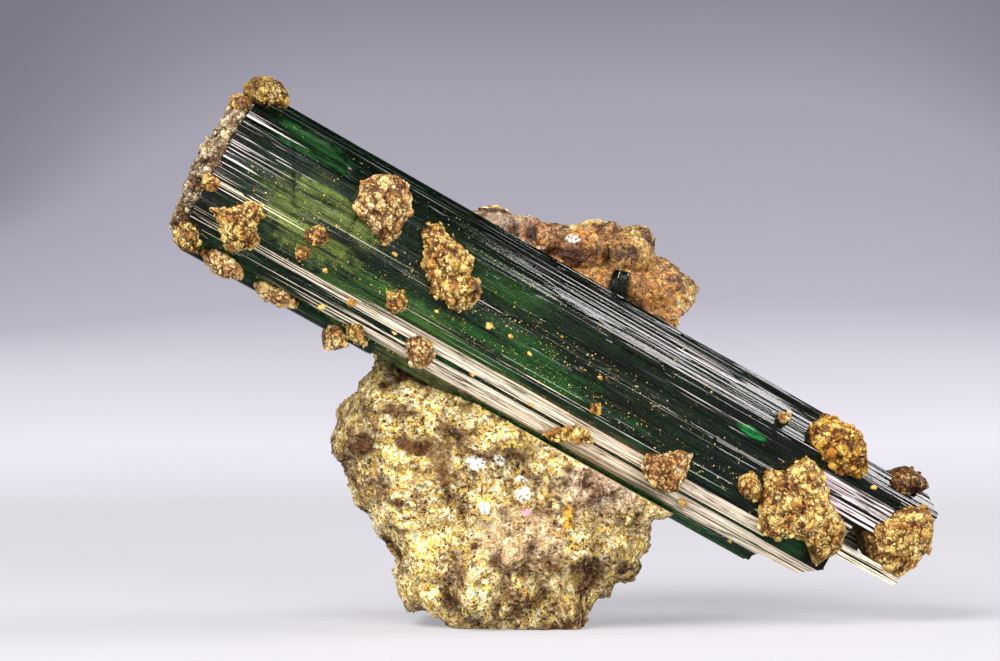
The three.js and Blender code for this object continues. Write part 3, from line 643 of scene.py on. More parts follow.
def joined(parts):
    """Several meshes, each an array of corners and its face sets, as one."""
    corners = np.concatenate([part[0] for part in parts])
    offsets = np.cumsum([0] + [len(part[0]) for part in parts[:-1]])
    faces = [face_set + offset for part, offset in zip(parts, offsets) for face_set in part[1]]
    return corners, faces


def surface_samples(corners, quads, count, rng):
    """Random places on a surface of quads, and the normals there."""
    a, b, c, d = (corners[quads[:, i]] for i in range(4))
    normal = np.cross(c - a, d - b) / 2
    area = np.linalg.norm(normal, axis=1)
    picked = rng.choice(len(quads), size=count, p=area / area.sum())
    u, v = rng.uniform(size=(2, count, 1))
    places = (a[picked] * (1 - u) + b[picked] * u) * (1 - v) + (d[picked] * (1 - u) + c[picked] * u) * v
    return places, normal[picked] / np.maximum(area[picked], 1e-12)[:, None]


def tilted(normals, amount, rng):
    """Unit directions turned away from the given ones by random amounts."""
    turned = normals + rng.normal(size=normals.shape) * amount
    return turned / np.linalg.norm(turned, axis=1, keepdims=True)


def add_node(tree, kind, inputs=None, **settings):
    """A shader node with its settings, and inputs given as sockets to link or as values."""
    node = tree.nodes.new("ShaderNode" + kind)
    for name, value in settings.items():
        setattr(node, name, value)
    for name, value in (inputs or {}).items():
        if isinstance(value, bpy.types.NodeSocket):
            tree.links.new(value, node.inputs[name])
        else:
            node.inputs[name].default_value = value
    return node


def mixed_colour(tree, share, first, second, blend="MIX"):
    """One colour socket out of two colours or sockets, by a share from 0 to 1."""
    inputs = {0: share, 6: first, 7: second}
    return add_node(tree, "Mix", inputs, data_type="RGBA", blend_type=blend).outputs[2]


def counted(tree, operation, first, *others):
    """One number socket from numbers or sockets: the first with the second, that with the third."""
    for value in others:
        first = add_node(tree, "Math", {0: first, 1: value}, operation=operation).outputs[0]
    return first


def product(tree, *factors):
    """Numbers or sockets multiplied."""
    return counted(tree, "MULTIPLY", *factors)


def without(tree, mask):
    """What a mask leaves free, 0 where the mask is 1."""
    return counted(tree, "SUBTRACT", 1.0, mask)


def ranged(tree, value, start, end, low=0.0, high=1.0):
    """The value's place between start and end, as a number from low to high."""
    return add_node(tree, "MapRange", {
        "Value": value, "From Min": start, "From Max": end, "To Min": low, "To Max": high,
    }, interpolation_type="SMOOTHSTEP").outputs[0]


def between(tree, value, low, high, soft):
    """1 between two values and 0 outside them, with edges that are this soft."""
    return product(tree, ranged(tree, value, low - soft, low), ranged(tree, value, high + soft, high))


def ramp(tree, value, stops):
    """The colour at a value, from (position, colour) stops."""
    node = add_node(tree, "ValToRGB", {"Fac": value})
    elements = node.color_ramp.elements
    for element, (position, colour) in zip(elements, stops[:2]):
        element.position = position
        element.color = colour
    for position, colour in stops[2:]:
        elements.new(position).color = colour
    return node.outputs["Color"]


def soft_noise(tree, place, scale, detail, roughness=0.5):
    """Soft noise at a place, mostly between 0.3 and 0.7."""
    return add_node(tree, "TexNoise", {
        "Vector": place, "Scale": scale, "Detail": detail, "Roughness": roughness,
    }).outputs["Fac"]


def stretched(tree, place, scales):
    """A place with each of its three numbers multiplied, which draws a pattern out along the crystal."""
    return add_node(tree, "Mapping", {"Vector": place, "Scale": scales}, vector_type="POINT").outputs[0]


def stored(tree, name):
    """The number that tint() stored on the mesh under this name."""
    return add_node(tree, "Attribute", attribute_name=name).outputs["Fac"]


def worked(tree, operation, inputs):
    """A vector socket from a vector operation."""
    return add_node(tree, "VectorMath", inputs, operation=operation).outputs[0]


def tilted_normal(tree, height, strength, distance):
    """The surface's normal with bumps of this height socket and of this depth in millimetres."""
    inputs = {"Height": height, "Strength": strength, "Distance": distance * MM}
    return add_node(tree, "Bump", inputs).outputs[0]


def principled(tree, colour, roughness, refraction, normal, transmission=0.0):
    """A Principled shader's output."""
    return add_node(tree, "BsdfPrincipled", {
        "Base Color": colour, "Roughness": roughness, "IOR": refraction, "Normal": normal,
        "Transmission Weight": transmission,
    }).outputs[0]


def new_group(name, inputs, outputs):
    """An empty node group with sockets given as {name: kind}, and its inner sockets."""
    tree = bpy.data.node_groups.new(name, "ShaderNodeTree")
    for in_out, sockets in (("INPUT", inputs), ("OUTPUT", outputs)):
        for socket, kind in sockets.items():
            tree.interface.new_socket(name=socket, in_out=in_out, socket_type="NodeSocket" + kind)
    return tree, tree.nodes.new("NodeGroupInput").outputs, tree.nodes.new("NodeGroupOutput").inputs


def grouped(tree, name, inputs):
    """The outputs of the shared group of this name, used once."""
    return add_node(tree, "Group", inputs, node_tree=bpy.data.node_groups[name]).outputs


def blank_material(name):
    """A material with an output node only, with its node tree and that node's inputs."""
    material = bpy.data.materials.new(name)
    material.use_nodes = True
    tree = material.node_tree
    tree.nodes.clear()
    return material, tree, tree.nodes.new("ShaderNodeOutputMaterial").inputs


def place_in_mm(tree):
    """The object's own coordinates in millimetres."""
    coords = add_node(tree, "TexCoord").outputs["Object"]
    return worked(tree, "SCALE", {0: coords, "Scale": 1 / MM})


def build_shared_groups():
    """The groups that several materials use: the crystal's own coordinates, a soft-edged spot about
    a place, and mineral grains."""
    if "Crystal coordinates" in bpy.data.node_groups:
        return
    tree, _, out = new_group("Crystal coordinates", {}, {"Place": "Vector"})
    turn = Matrix(CRYSTAL_AXES.T.tolist())
    start = turn @ Vector((LEFT_END * MM).tolist())
    mapping = add_node(tree, "Mapping", {
        "Vector": add_node(tree, "TexCoord").outputs["Object"], "Location": (-start)[:],
        "Rotation": turn.to_euler()[:], "Scale": (1, 1, 1),
    }, vector_type="POINT")
    tree.links.new(worked(tree, "SCALE", {0: mapping.outputs[0], "Scale": 1 / MM}), out["Place"])

    tree, into, out = new_group("Spot", {
        "Place": "Vector", "Centre": "Vector", "Stretch": "Vector", "Ragged": "Float",
    }, {"Mask": "Float"})
    away = worked(tree, "SUBTRACT", {0: into["Place"], 1: into["Centre"]})
    scaled = worked(tree, "DIVIDE", {0: away, 1: into["Stretch"]})
    distance = add_node(tree, "VectorMath", {0: scaled}, operation="LENGTH").outputs["Value"]
    noise = soft_noise(tree, into["Place"], 0.9, 4.0, 0.65)
    wander = product(tree, counted(tree, "SUBTRACT", noise, 0.5), into["Ragged"])
    tree.links.new(ranged(tree, counted(tree, "ADD", distance, wander), 1.15, 0.7), out["Mask"])

    tree, into, out = new_group("Grains", {"Place": "Vector", "Size": "Float"}, {
        "Value": "Float", "Other": "Float", "Edge": "Float",
    })
    bent = add_node(tree, "TexNoise", {"Vector": into["Place"], "Scale": 1.6, "Detail": 3.0}).outputs["Color"]
    shifted = worked(tree, "MULTIPLY_ADD", {0: bent, 1: (0.6, 0.6, 0.6), 2: into["Place"]})
    scale = counted(tree, "DIVIDE", 1.0, into["Size"])
    cells = add_node(tree, "TexVoronoi", {"Vector": shifted, "Scale": scale}).outputs
    parts = add_node(tree, "SeparateColor", {"Color": cells["Color"]}).outputs
    tree.links.new(parts[0], out["Value"])
    tree.links.new(parts[1], out["Other"])
    tree.links.new(cells["Distance"], out["Edge"])


def spot(tree, place, centre, stretch, ragged):
    """A mask about a centre that reaches as far as stretch says, with a ragged edge."""
    return grouped(tree, "Spot", {
        "Place": place, "Centre": centre, "Stretch": stretch, "Ragged": ragged,
    })["Mask"]


def material_once(name, build):
    """The material of this name, built the first time that it is asked for."""
    build_shared_groups()
    return bpy.data.materials.get(name) or build()


# Where green shows through the dark crystal, its own green with painted light that stands in for light passing
# through it: (place along, back and up it, reach, colour, strength).
GREEN_WINDOWS = [
    ((28, -6, 0), (40, 12, 7), srgb(28, 54, 22), 0.4),
    ((42, -6, -2.6), (12, 9, 3.4), srgb(34, 90, 30), 0.55),
    ((34, -6, 4.2), (9, 9, 2.6), srgb(38, 80, 28), 0.55),
    ((25, -6, -4.4), (12, 9, 2.4), srgb(64, 106, 36), 0.6),
    ((13, -6, 0.4), (7.5, 9, 5), srgb(120, 138, 62), 0.7),
    ((8, -6, 7.4), (6, 9, 1.6), srgb(40, 96, 44), 0.55),
    ((57, -6, -3.6), (5, 9, 1.8), srgb(30, 84, 46), 0.45),
    ((71.3, -6, 3.7), (2.2, 9, 0.6), srgb(24, 150, 70), 0.9),
]
WINDOW_RAGGED = 1.1

# Dark healed cracks across the crystal: where they cross up = 0, their slope along / up, the lowest
# and highest up that they reach, and half their width.
CRACKS = [(9.7, -0.55, 0.6, 6.4, 0.13), (16.6, 0.0, 0.2, 5.6, 0.1), (68.2, -0.6, -2.6, 1.4, 0.2)]

# Bands of painted reflection, pale lines along the crystal that stand in for light reflected by its striated
# faces: lowest and highest up, softness, where along the crystal their share starts and ends its change, and
# the share at both. The last one is where they are broken away.
PAINTED_REFLECTION_BANDS = {
    "upper": (5.4, 9.2, 0.5, 20, 62, 0.06, 0.34),
    "lower": (-8.7, -5.2, 0.5, 4, 54, 0.36, 0.86),
    "left": (-2.5, 7.4, 0.8, 20, 0, 0.0, 0.42),
    "columns": (-2.4, 3.8, 0.5, 80, 82, 0.0, 0.5),
    "lowest column": (-4.5, -2.5, 0.2, 87, 88, 0.0, 0.8),
    "broken": (-6.9, -4.0, 0.2, 79.4, 79.8, 0.0, 1.0),
}
# A dark groove along the lower band, where the painted reflection is left out: lowest and highest up, and
# softness.
GROOVE = (-6.85, -6.65, 0.15)

DEEP_GREEN = srgb(10, 22, 16)
CLEAR_TINT = srgb(60, 96, 74)
# The paler see-through tint in the windows is painted light passing through the crystal.
WINDOW_LIGHT_TINT = srgb(170, 226, 160)
CLEAR_CRACK = srgb(4, 4, 6)
WINDOW_SHADER_CRACK = srgb(6, 6, 8)
# Painted reflection: the colours of the pale lines below and above the axis, and how far they cover the
# crystal.
LOWER_PAINTED_REFLECTION = srgb(244, 228, 202)
UPPER_PAINTED_REFLECTION = srgb(228, 214, 214)
PAINTED_REFLECTION_SHARE = 0.85
GLASS_TINT = srgb(90, 190, 110)
GLASS_DENSITY = 90.0
TOURMALINE_REFRACTION = 1.63


def painted_reflection_cover(tree, along, up):
    """How much of the crystal the painted reflection, its pale lines, takes up at a place on it, 0 to 1."""
    bands = {}
    for name, (low, high, soft, *change) in PAINTED_REFLECTION_BANDS.items():
        bands[name] = product(tree, between(tree, up, low, high, soft), ranged(tree, along, *change))
    lower = product(tree, bands["lower"], without(tree, between(tree, up, *GROOVE)))
    cover = counted(tree, "MAXIMUM", bands["upper"], lower, bands["left"])
    cover = product(tree, cover, without(tree, bands["broken"]))
    everywhere = ranged(tree, along, 40, 56, 0.09, 0.13)
    return counted(tree, "MAXIMUM", cover, bands["columns"], bands["lowest column"], everywhere)


def crack_mask(tree, along, up, specks):
    """1 in the crystal's dark cracks, whose lines waver with the specks."""
    waver = ranged(tree, specks, 0.3, 0.7, -0.35, 0.35)
    masks = []
    for start, slope, lowest, highest, width in CRACKS:
        aside = counted(tree, "SUBTRACT", along, start, product(tree, up, slope))
        aside = counted(tree, "ADD", aside, waver)
        across = between(tree, aside, -width, width, 0.08)
        masks.append(product(tree, across, between(tree, up, lowest, highest, 0.8)))
    return counted(tree, "MAXIMUM", *masks)


def tourmaline_material():
    """Clear green crystal, almost black through its depth, with green windows of painted light that stands in
    for light passing through it, painted reflections as pale lines along it, and dark healed cracks."""
    material, tree, output = blank_material("Tourmaline")
    place = grouped(tree, "Crystal coordinates", {})["Place"]
    along, _, up = add_node(tree, "SeparateXYZ", {"Vector": place}).outputs
    fine = soft_noise(tree, stretched(tree, place, (0.02, 5.0, 5.0)), 1.0, 1.5, 0.65)
    wide = soft_noise(tree, stretched(tree, place, (0.03, 1.5, 1.5)), 1.0, 2.0, 0.65)
    veil = soft_noise(tree, stretched(tree, place, (0.09, 1.0, 1.0)), 1.0, 6.0, 0.65)
    dashes = soft_noise(tree, stretched(tree, place, (0.22, 8.0, 8.0)), 1.0, 2.0)
    specks = soft_noise(tree, place, 4.5, 3.0, 0.7)

    colour = DEEP_GREEN
    masks = []
    for centre, stretch, tone, strength in GREEN_WINDOWS:
        mask = spot(tree, place, centre, stretch, WINDOW_RAGGED)
        colour = mixed_colour(tree, mask, colour, tone)
        masks.append(product(tree, mask, strength))
    # Painted light in the windows: an opaque green surface colour that stands in for light passing through the
    # crystal.
    mottle = product(tree, ranged(tree, veil, 0.36, 0.62), ranged(tree, specks, 0.36, 0.56, 0.35, 1.0))
    painted_window_light = product(tree, counted(tree, "MAXIMUM", *masks), mottle)
    crack = crack_mask(tree, along, up, specks)
    normal = tilted_normal(tree, fine, 0.5, 0.05)
    body = mixed_colour(tree, crack, mixed_colour(tree, painted_window_light, CLEAR_TINT, WINDOW_LIGHT_TINT), CLEAR_CRACK)
    clear = principled(tree, body, 0.1, TOURMALINE_REFRACTION, normal, transmission=1.0)
    window_light_colour = mixed_colour(tree, crack, colour, WINDOW_SHADER_CRACK)
    window_light_shader = principled(tree, window_light_colour, 0.14, TOURMALINE_REFRACTION, normal)
    inside = add_node(tree, "MixShader", {0: painted_window_light, 1: clear, 2: window_light_shader}).outputs[0]

    # Painted reflection: pale lines along the crystal that stand in for light reflected by its striated faces.
    lines = counted(tree, "ADD", product(tree, fine, 0.78), product(tree, wide, 0.22))
    level = ranged(tree, painted_reflection_cover(tree, along, up), 0.0, 1.0, 0.68, 0.34)
    pale = ranged(tree, counted(tree, "SUBTRACT", lines, level), -0.015, 0.025)
    gaps = ranged(tree, dashes, 0.38, 0.46, 0.1, 1.0)
    pale = product(tree, pale, without(tree, crack), gaps, PAINTED_REFLECTION_SHARE)
    reflection_colour = mixed_colour(tree, ranged(tree, up, -1.0, 1.0), LOWER_PAINTED_REFLECTION, UPPER_PAINTED_REFLECTION)
    reflection_shader = principled(tree, reflection_colour, 0.35, 1.5, normal)
    mix = add_node(tree, "MixShader", {0: pale, 1: inside, 2: reflection_shader})
    tree.links.new(mix.outputs[0], output["Surface"])
    volume = add_node(tree, "VolumeAbsorption", {"Color": GLASS_TINT, "Density": GLASS_DENSITY})
    tree.links.new(volume.outputs[0], output["Volume"])
    return material


def shades(*stops):
    """Colour stops for a ramp from (position, red, green, blue) on a 0 to 255 screen scale."""
    return [(position, srgb(*colour)) for position, *colour in stops]


def grain_colours(tree, place, stops, size, fine_size):
    """A colour for each mineral grain, of two sizes, each with its own random shade, and a height."""
    coarse = grouped(tree, "Grains", {"Place": place, "Size": size})
    fine = grouped(tree, "Grains", {"Place": place, "Size": fine_size})
    colour = mixed_colour(tree, 0.55, ramp(tree, coarse["Value"], stops), ramp(tree, fine["Value"], stops))
    return colour, counted(tree, "ADD", coarse["Edge"], product(tree, fine["Edge"], 0.5))


OCHRE = shades(
    (0.0, 36, 18, 2), (0.18, 112, 70, 14), (0.34, 194, 146, 42), (0.5, 236, 196, 80),
    (0.68, 252, 228, 128), (0.86, 255, 250, 216))
RUST = shades((0.0, 16, 6, 2), (0.22, 66, 28, 4), (0.45, 128, 64, 8), (0.7, 162, 96, 22), (1.0, 204, 154, 80))
LILAC = shades((0.0, 30, 18, 16), (0.3, 88, 62, 56), (0.6, 138, 110, 100), (1.0, 202, 180, 170))
BUFF = shades((0.0, 60, 36, 10), (0.3, 132, 94, 38), (0.6, 168, 128, 62), (1.0, 212, 182, 116))
PINK = shades((0.0, 58, 30, 18), (0.3, 150, 108, 72), (0.6, 206, 168, 122), (1.0, 244, 226, 192))
ROSY = shades((0.0, 70, 36, 26), (0.22, 176, 132, 98), (0.5, 228, 196, 156), (1.0, 252, 240, 220))

# Parts of the matrix with their own colours: the colours, how strong they are, and each part as
# (place, reach) in the object's own frame.
STONE_PARTS = [
    (LILAC, 0.85, [((-3, -2, 48), (9, 10, 4.5)), ((1, -2, 42), (5, 10, 5))]),
    (PINK, 0.75, [((0, -9, 11), (6, 8, 4))]),
    (ROSY, 0.85, [((10, -10, 17.3), (5.6, 9, 3.4))]),
    (RUST, 0.9, [((9, -2, 40), (14, 12, 11))]),
    (BUFF, 0.8, [
        ((13.6, 0, 45.2), (3, 6, 2.4)), ((2.6, 0, 43.4), (1.8, 6, 1.6)), ((-1, -9, 21.8), (3, 5, 1.2)),
    ]),
]
PART_RAGGED = 1.6

# Small marks on the matrix with a colour each: white spots, a pale strip and a scar on the left, a
# yellow arc, an orange vein, a pink fleck and two dark red holes.
WHITE = srgb(255, 252, 244)
MARKS = [
    ((-5.2, -10, 20), (1.3, 4, 0.8), WHITE), ((-2.5, -10, 20.3), (0.7, 4, 0.7), WHITE),
    ((-4.4, -10, 14.6), (0.7, 4, 0.7), WHITE), ((0.2, -10, 18), (0.9, 4, 0.5), WHITE),
    ((0.4, -10, 16.2), (1.0, 4, 0.9), WHITE), ((6.4, -2, 46.8), (0.8, 8, 0.6), WHITE),
    ((-17.6, -6, 10.4), (0.8, 8, 3.6), srgb(244, 230, 184)),
    ((-16.8, -8, 15.4), (0.4, 6, 1.6), srgb(104, 78, 48)),
    ((-1.0, -10, 22.2), (1.6, 4, 0.5), srgb(246, 212, 108)),
    ((5.6, -10, 13.6), (0.7, 5, 1.6), srgb(222, 164, 44)),
    ((0.8, -10, 14.2), (0.7, 4, 0.5), srgb(206, 150, 168)),
    ((7.8, -9, 17.7), (0.6, 4, 0.7), srgb(70, 18, 14)),
    ((-5.4, -10, 10.2), (0.6, 4, 0.5), srgb(80, 26, 18)),
]
MARK_RAGGED = 2.4
# The colours of the darkest and palest flake, and of what multiplies into patches, specks and the painted
# shade in creases and hollows.
FLAKE_TONES = (srgb(84, 52, 12), srgb(255, 232, 158))
STONE_STAIN = srgb(150, 104, 44)
STONE_PEPPER = srgb(70, 42, 14)
STONE_CREASE_SHADE = srgb(104, 70, 30)


def stone_material():
    """Weathered feldspar: ochre grains, with rusty, lilac and pink parts, white spots, and painted shade that
    darkens its creases and hollows.
    """
    material, tree, output = blank_material("Matrix")
    place = place_in_mm(tree)
    colour, height = grain_colours(tree, place, OCHRE, 0.55, 0.22)
    for stops, share, spots in STONE_PARTS:
        other, _ = grain_colours(tree, place, stops, 0.5, 0.2)
        for centre, stretch in spots:
            mask = product(tree, spot(tree, place, centre, stretch, PART_RAGGED), share)
            colour = mixed_colour(tree, mask, colour, other)
    tone = mixed_colour(tree, 0.5, colour, mixed_colour(tree, stored(tree, "shade"), *FLAKE_TONES))
    colour = mixed_colour(tree, stored(tree, "flake"), colour, tone)
    patches = soft_noise(tree, place, 0.22, 5.0, 0.65)
    stain = ranged(tree, patches, 0.52, 0.66, 0.0, 0.6)
    colour = mixed_colour(tree, stain, colour, STONE_STAIN, "MULTIPLY")
    pepper = soft_noise(tree, place, 1.9, 4.0, 0.7)
    dark = product(tree, ranged(tree, pepper, 0.54, 0.6), ranged(tree, patches, 0.4, 0.6, 0.3, 1.0))
    colour = mixed_colour(tree, dark, colour, STONE_PEPPER, "MULTIPLY")
    # Painted shade: darker in the matrix's creases and hollows.
    colour = mixed_colour(tree, stored(tree, "pit"), colour, STONE_CREASE_SHADE, "MULTIPLY")
    broken = ranged(tree, pepper, 0.56, 0.48, 0.1, 0.9)
    for centre, stretch, tone in MARKS:
        mask = product(tree, spot(tree, place, centre, stretch, MARK_RAGGED), broken)
        colour = mixed_colour(tree, mask, colour, tone)
    normal = tilted_normal(tree, height, 0.9, 0.22)
    tree.links.new(principled(tree, colour, 0.62, 1.5, normal), output["Surface"])
    return material


# The colours of the mica clusters, which of them each cluster has, and how rough each is.
MICA_SHADES = {
    "golden": shades(
        (0.0, 40, 24, 2), (0.16, 128, 86, 22), (0.38, 206, 160, 60), (0.64, 234, 196, 100),
        (1.0, 252, 236, 170)),
    "tan": shades(
        (0.0, 40, 24, 10), (0.16, 136, 94, 38), (0.38, 204, 158, 78), (0.64, 236, 198, 120),
        (1.0, 255, 242, 200)),
    "orange": shades(
        (0.0, 40, 19, 4), (0.16, 136, 79, 8), (0.38, 210, 152, 30), (0.68, 230, 184, 62),
        (1.0, 250, 231, 130)),
    "brown": shades(
        (0.0, 28, 17, 4), (0.2, 96, 62, 14), (0.42, 146, 109, 36), (0.68, 178, 143, 56),
        (1.0, 226, 203, 110)),
    "dark": shades((0.0, 10, 5, 4), (0.4, 62, 32, 12), (0.7, 132, 81, 26), (1.0, 220, 175, 90)),
    "crust": shades((0.0, 22, 17, 8), (0.3, 88, 70, 38), (0.6, 144, 126, 90), (1.0, 232, 220, 194)),
}
MICA_ROUGHNESS = {"golden": 0.48, "tan": 0.48, "orange": 0.48, "brown": 0.48, "dark": 0.4, "crust": 0.46}
MICA_REFRACTION = 1.42
MICA_BROWN = srgb(176, 126, 72)
MICA_PALE = srgb(244, 220, 160)
# Painted shade in the creases between the mica's grains.
MICA_CREASE_SHADE = srgb(96, 66, 22)
CLUSTER_LOOKS = {
    "mica_corner_book": "brown", "mica_dark_end": "dark", END_CRUST: "crust",
    "mica_orange_crumb": "orange", "mica_upper_right": "orange",
    "mica_top_crumb": "tan", "mica_horned": "tan", "mica_upper_left": "tan", "mica_edge_strip": "tan",
    "mica_left_edge": "tan", "mica_lower_centre": "tan", "mica_under_edge": "tan",
}


def mica_material(look):
    """Scaly mica: one tint for each plate over fine grains, with brown and pale patches, and painted shade in
    the creases between the grains.
    """
    material, tree, output = blank_material("Mica " + look)
    stops = MICA_SHADES[look]
    place = place_in_mm(tree)
    colour, height = grain_colours(tree, place, stops, 0.3, 0.13)
    colour = mixed_colour(tree, 0.4, colour, ramp(tree, stored(tree, "shade"), stops))
    patches = soft_noise(tree, place, 0.55, 3.0, 0.6)
    brown = ranged(tree, patches, 0.47, 0.6, 0.0, 0.8)
    colour = mixed_colour(tree, brown, colour, MICA_BROWN, "MULTIPLY")
    pale = ranged(tree, patches, 0.46, 0.36, 0.0, 0.35)
    colour = mixed_colour(tree, pale, colour, MICA_PALE)
    # Painted shade: darker in the creases between the grains.
    colour = mixed_colour(tree, stored(tree, "pit"), colour, MICA_CREASE_SHADE, "MULTIPLY")
    normal = tilted_normal(tree, height, 0.9, 0.14)
    shader = principled(tree, colour, MICA_ROUGHNESS[look], MICA_REFRACTION, normal)
    tree.links.new(shader, output["Surface"])
    return material


def mica_of(look):
    """The mica material of this look."""
    return material_once("Mica " + look, lambda: mica_material(look))


def finished(thing, nodes, material):
    """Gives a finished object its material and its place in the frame."""
    thing.data.materials.clear()
    thing.data.materials.append(material)
    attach(thing, "root")
    if nodes:
        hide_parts(*nodes)
    return thing


class TourmalineSettings(bpy.types.PropertyGroup):
    """The sizes and counts that shape the specimen's look."""
    ridge_height: bpy.props.FloatProperty(
        name="Growth line height", description="How far the crystal's growth lines stand in or out",
        default=0.09 * MM, unit="LENGTH", precision=6)
    across_steps: bpy.props.IntProperty(
        name="Steps across", description="Points round the crystal's section", default=620)
    along_steps: bpy.props.IntProperty(
        name="Steps along", description="Sections along the crystal", default=110)
    matrix_steps: bpy.props.IntProperty(
        name="Matrix steps", description="Grid steps across each sheet of the matrix", default=210)
    flake_count: bpy.props.IntProperty(
        name="Flakes", description="Loose-looking grains and flakes on the matrix", default=9000)
    plates_per_area: bpy.props.FloatProperty(
        name="Plates per square millimetre", description="Mica plates on the clusters", default=6.0)
    dust_count: bpy.props.IntProperty(
        name="Dust", description="Fine specks on the crystal's front", default=3000)
    seed: bpy.props.IntProperty(name="Seed", description="Start of the random numbers", default=7)
    key_power: bpy.props.FloatProperty(
        name="Key light", description="Power of the main softbox in watts", default=5.9, subtype="POWER")
    right_power: bpy.props.FloatProperty(
        name="Right light", description="Power of the right softbox in watts", default=2.6, subtype="POWER")
    fill_power: bpy.props.FloatProperty(
        name="Fill light", description="Power of the fill light in watts", default=3.4, subtype="POWER")


class TOURMALINE_OT_crystal(bpy.types.Operator):
    """Add the long ridged crystal with its broken ends"""
    bl_idname = "tourmaline.crystal"
    bl_label = "Add long crystal"

    def execute(self, context):
        settings = context.scene.tourmaline
        corners, faces = long_crystal(
            settings.ridge_height / MM, settings.across_steps, settings.along_steps, settings.seed)
        thing = shown("long_crystal", filled_mesh("long_crystal", corners, faces))
        carve(thing, [
            ("DIFFERENCE", *slab(FRONT_END, -BEYOND, END_SPLIT)),
            ("DIFFERENCE", *slab(BACK_END, END_SPLIT - CUT_OVERLAP, BEYOND)),
            ("DIFFERENCE", *slab(BREAK_OUTLINE, -BEYOND, BREAK_DEPTH)),
            ("UNION", *bar(LOW_STEP, CRYSTAL_START, LOW_STEP_END)),
            ("DIFFERENCE", *slanting_end()),
            ("DIFFERENCE", *slab(LEFT_CORNER, -BEYOND, BEYOND)),
        ])
        thing.data.shade_smooth()
        thing.data.set_sharp_from_angle(angle=SHARP_ANGLE)
        finished(thing, ["tourmaline_crystal"], material_once("Tourmaline", tourmaline_material))
        return {"FINISHED"}


def forms_at(points, lowest, highest):
    """The sum of bell-shaped swells whose heights lie in a range, at points about the matrix's
    middle: each is height * exp(-(distance in x and z / half width) squared), in front only."""
    total = np.zeros(len(points))
    for x, z, reach, height in MATRIX_FORMS:
        if lowest <= height <= highest:
            away = (points[:, 0] - x + MATRIX_CENTRE[0]) ** 2 + (points[:, 2] - z + MATRIX_CENTRE[2]) ** 2
            total += height * np.exp(-away / reach ** 2)
    return total * (points[:, 1] < 0)


def rough_relief(points):
    """The matrix's relief: two sizes of soft lumps, its larger forms, and the grains on them."""
    push = 1.5 * value_noise(points, 9, MATRIX_SEED) + 0.9 * value_noise(points, 4.2, MATRIX_SEED + 1)
    return push + grain_relief(points, MATRIX_GRAINS, MATRIX_SEED)[0] + forms_at(points, -9, 9)


def painted_shade_share(points):
    """How dark the painted shade is at a place on the matrix, for lying in a crease or in a hollow, 0 to 1."""
    hollow = value_noise(points, 2.2, MATRIX_SEED + 2) + value_noise(points, 4.2, MATRIX_SEED + 1)
    hollow = np.maximum(smooth(hollow, -0.5, -1.1), 0.85 * smooth(-forms_at(points, -9, 0), 0.35, 1.0))
    crease_shade = grain_relief(points, MATRIX_GRAINS, MATRIX_SEED)[1]
    crease_shade = crease_shade * smooth(value_noise(points, 3.1, MATRIX_SEED + 3), -0.45, 0.35)
    return np.clip(np.maximum(crease_shade, hollow), 0, 1)


def lump_relief(seed, scale):
    """A cluster's relief: soft swellings, with scaly grains on them."""
    def relief(points):
        push = 0.3 * value_noise(points, 2.2, seed)
        return scale * (push + grain_relief(points, CLUSTER_GRAINS, seed)[0])
    return relief


def clear_of_crystal(places):
    """True where a place in the object's frame is below the crystal's front or outside its section."""
    local = (places - LEFT_END) @ CRYSTAL_AXES
    angle = np.arctan2(local[:, 2], local[:, 1])
    outside = np.hypot(local[:, 1], local[:, 2]) > reach_of(SECTION, angle) + 0.2
    return outside & ((local[:, 2] < -9.6) | (local[:, 1] > MATRIX_FRONT_BEHIND + 0.2))


def matrix_lobes():
    """The lobes on the matrix's upper part, as what carve() takes."""
    lobes = []
    turn = np.linspace(0, 2 * math.pi, 24, endpoint=False)
    for i, (middle, wide, tall, rise) in enumerate(MATRIX_LOBES):
        rim = np.column_stack([wide * np.cos(turn), tall * np.sin(turn)])
        depth = {"front": rise, "back": 2 * rise}
        corners, faces = pillow(rim, depth, LOBE_FULLNESS, 44, lump_relief(LOBE_SEED + i, 0.8))
        lobes.append(("UNION", corners + np.array(middle), faces))
    return lobes


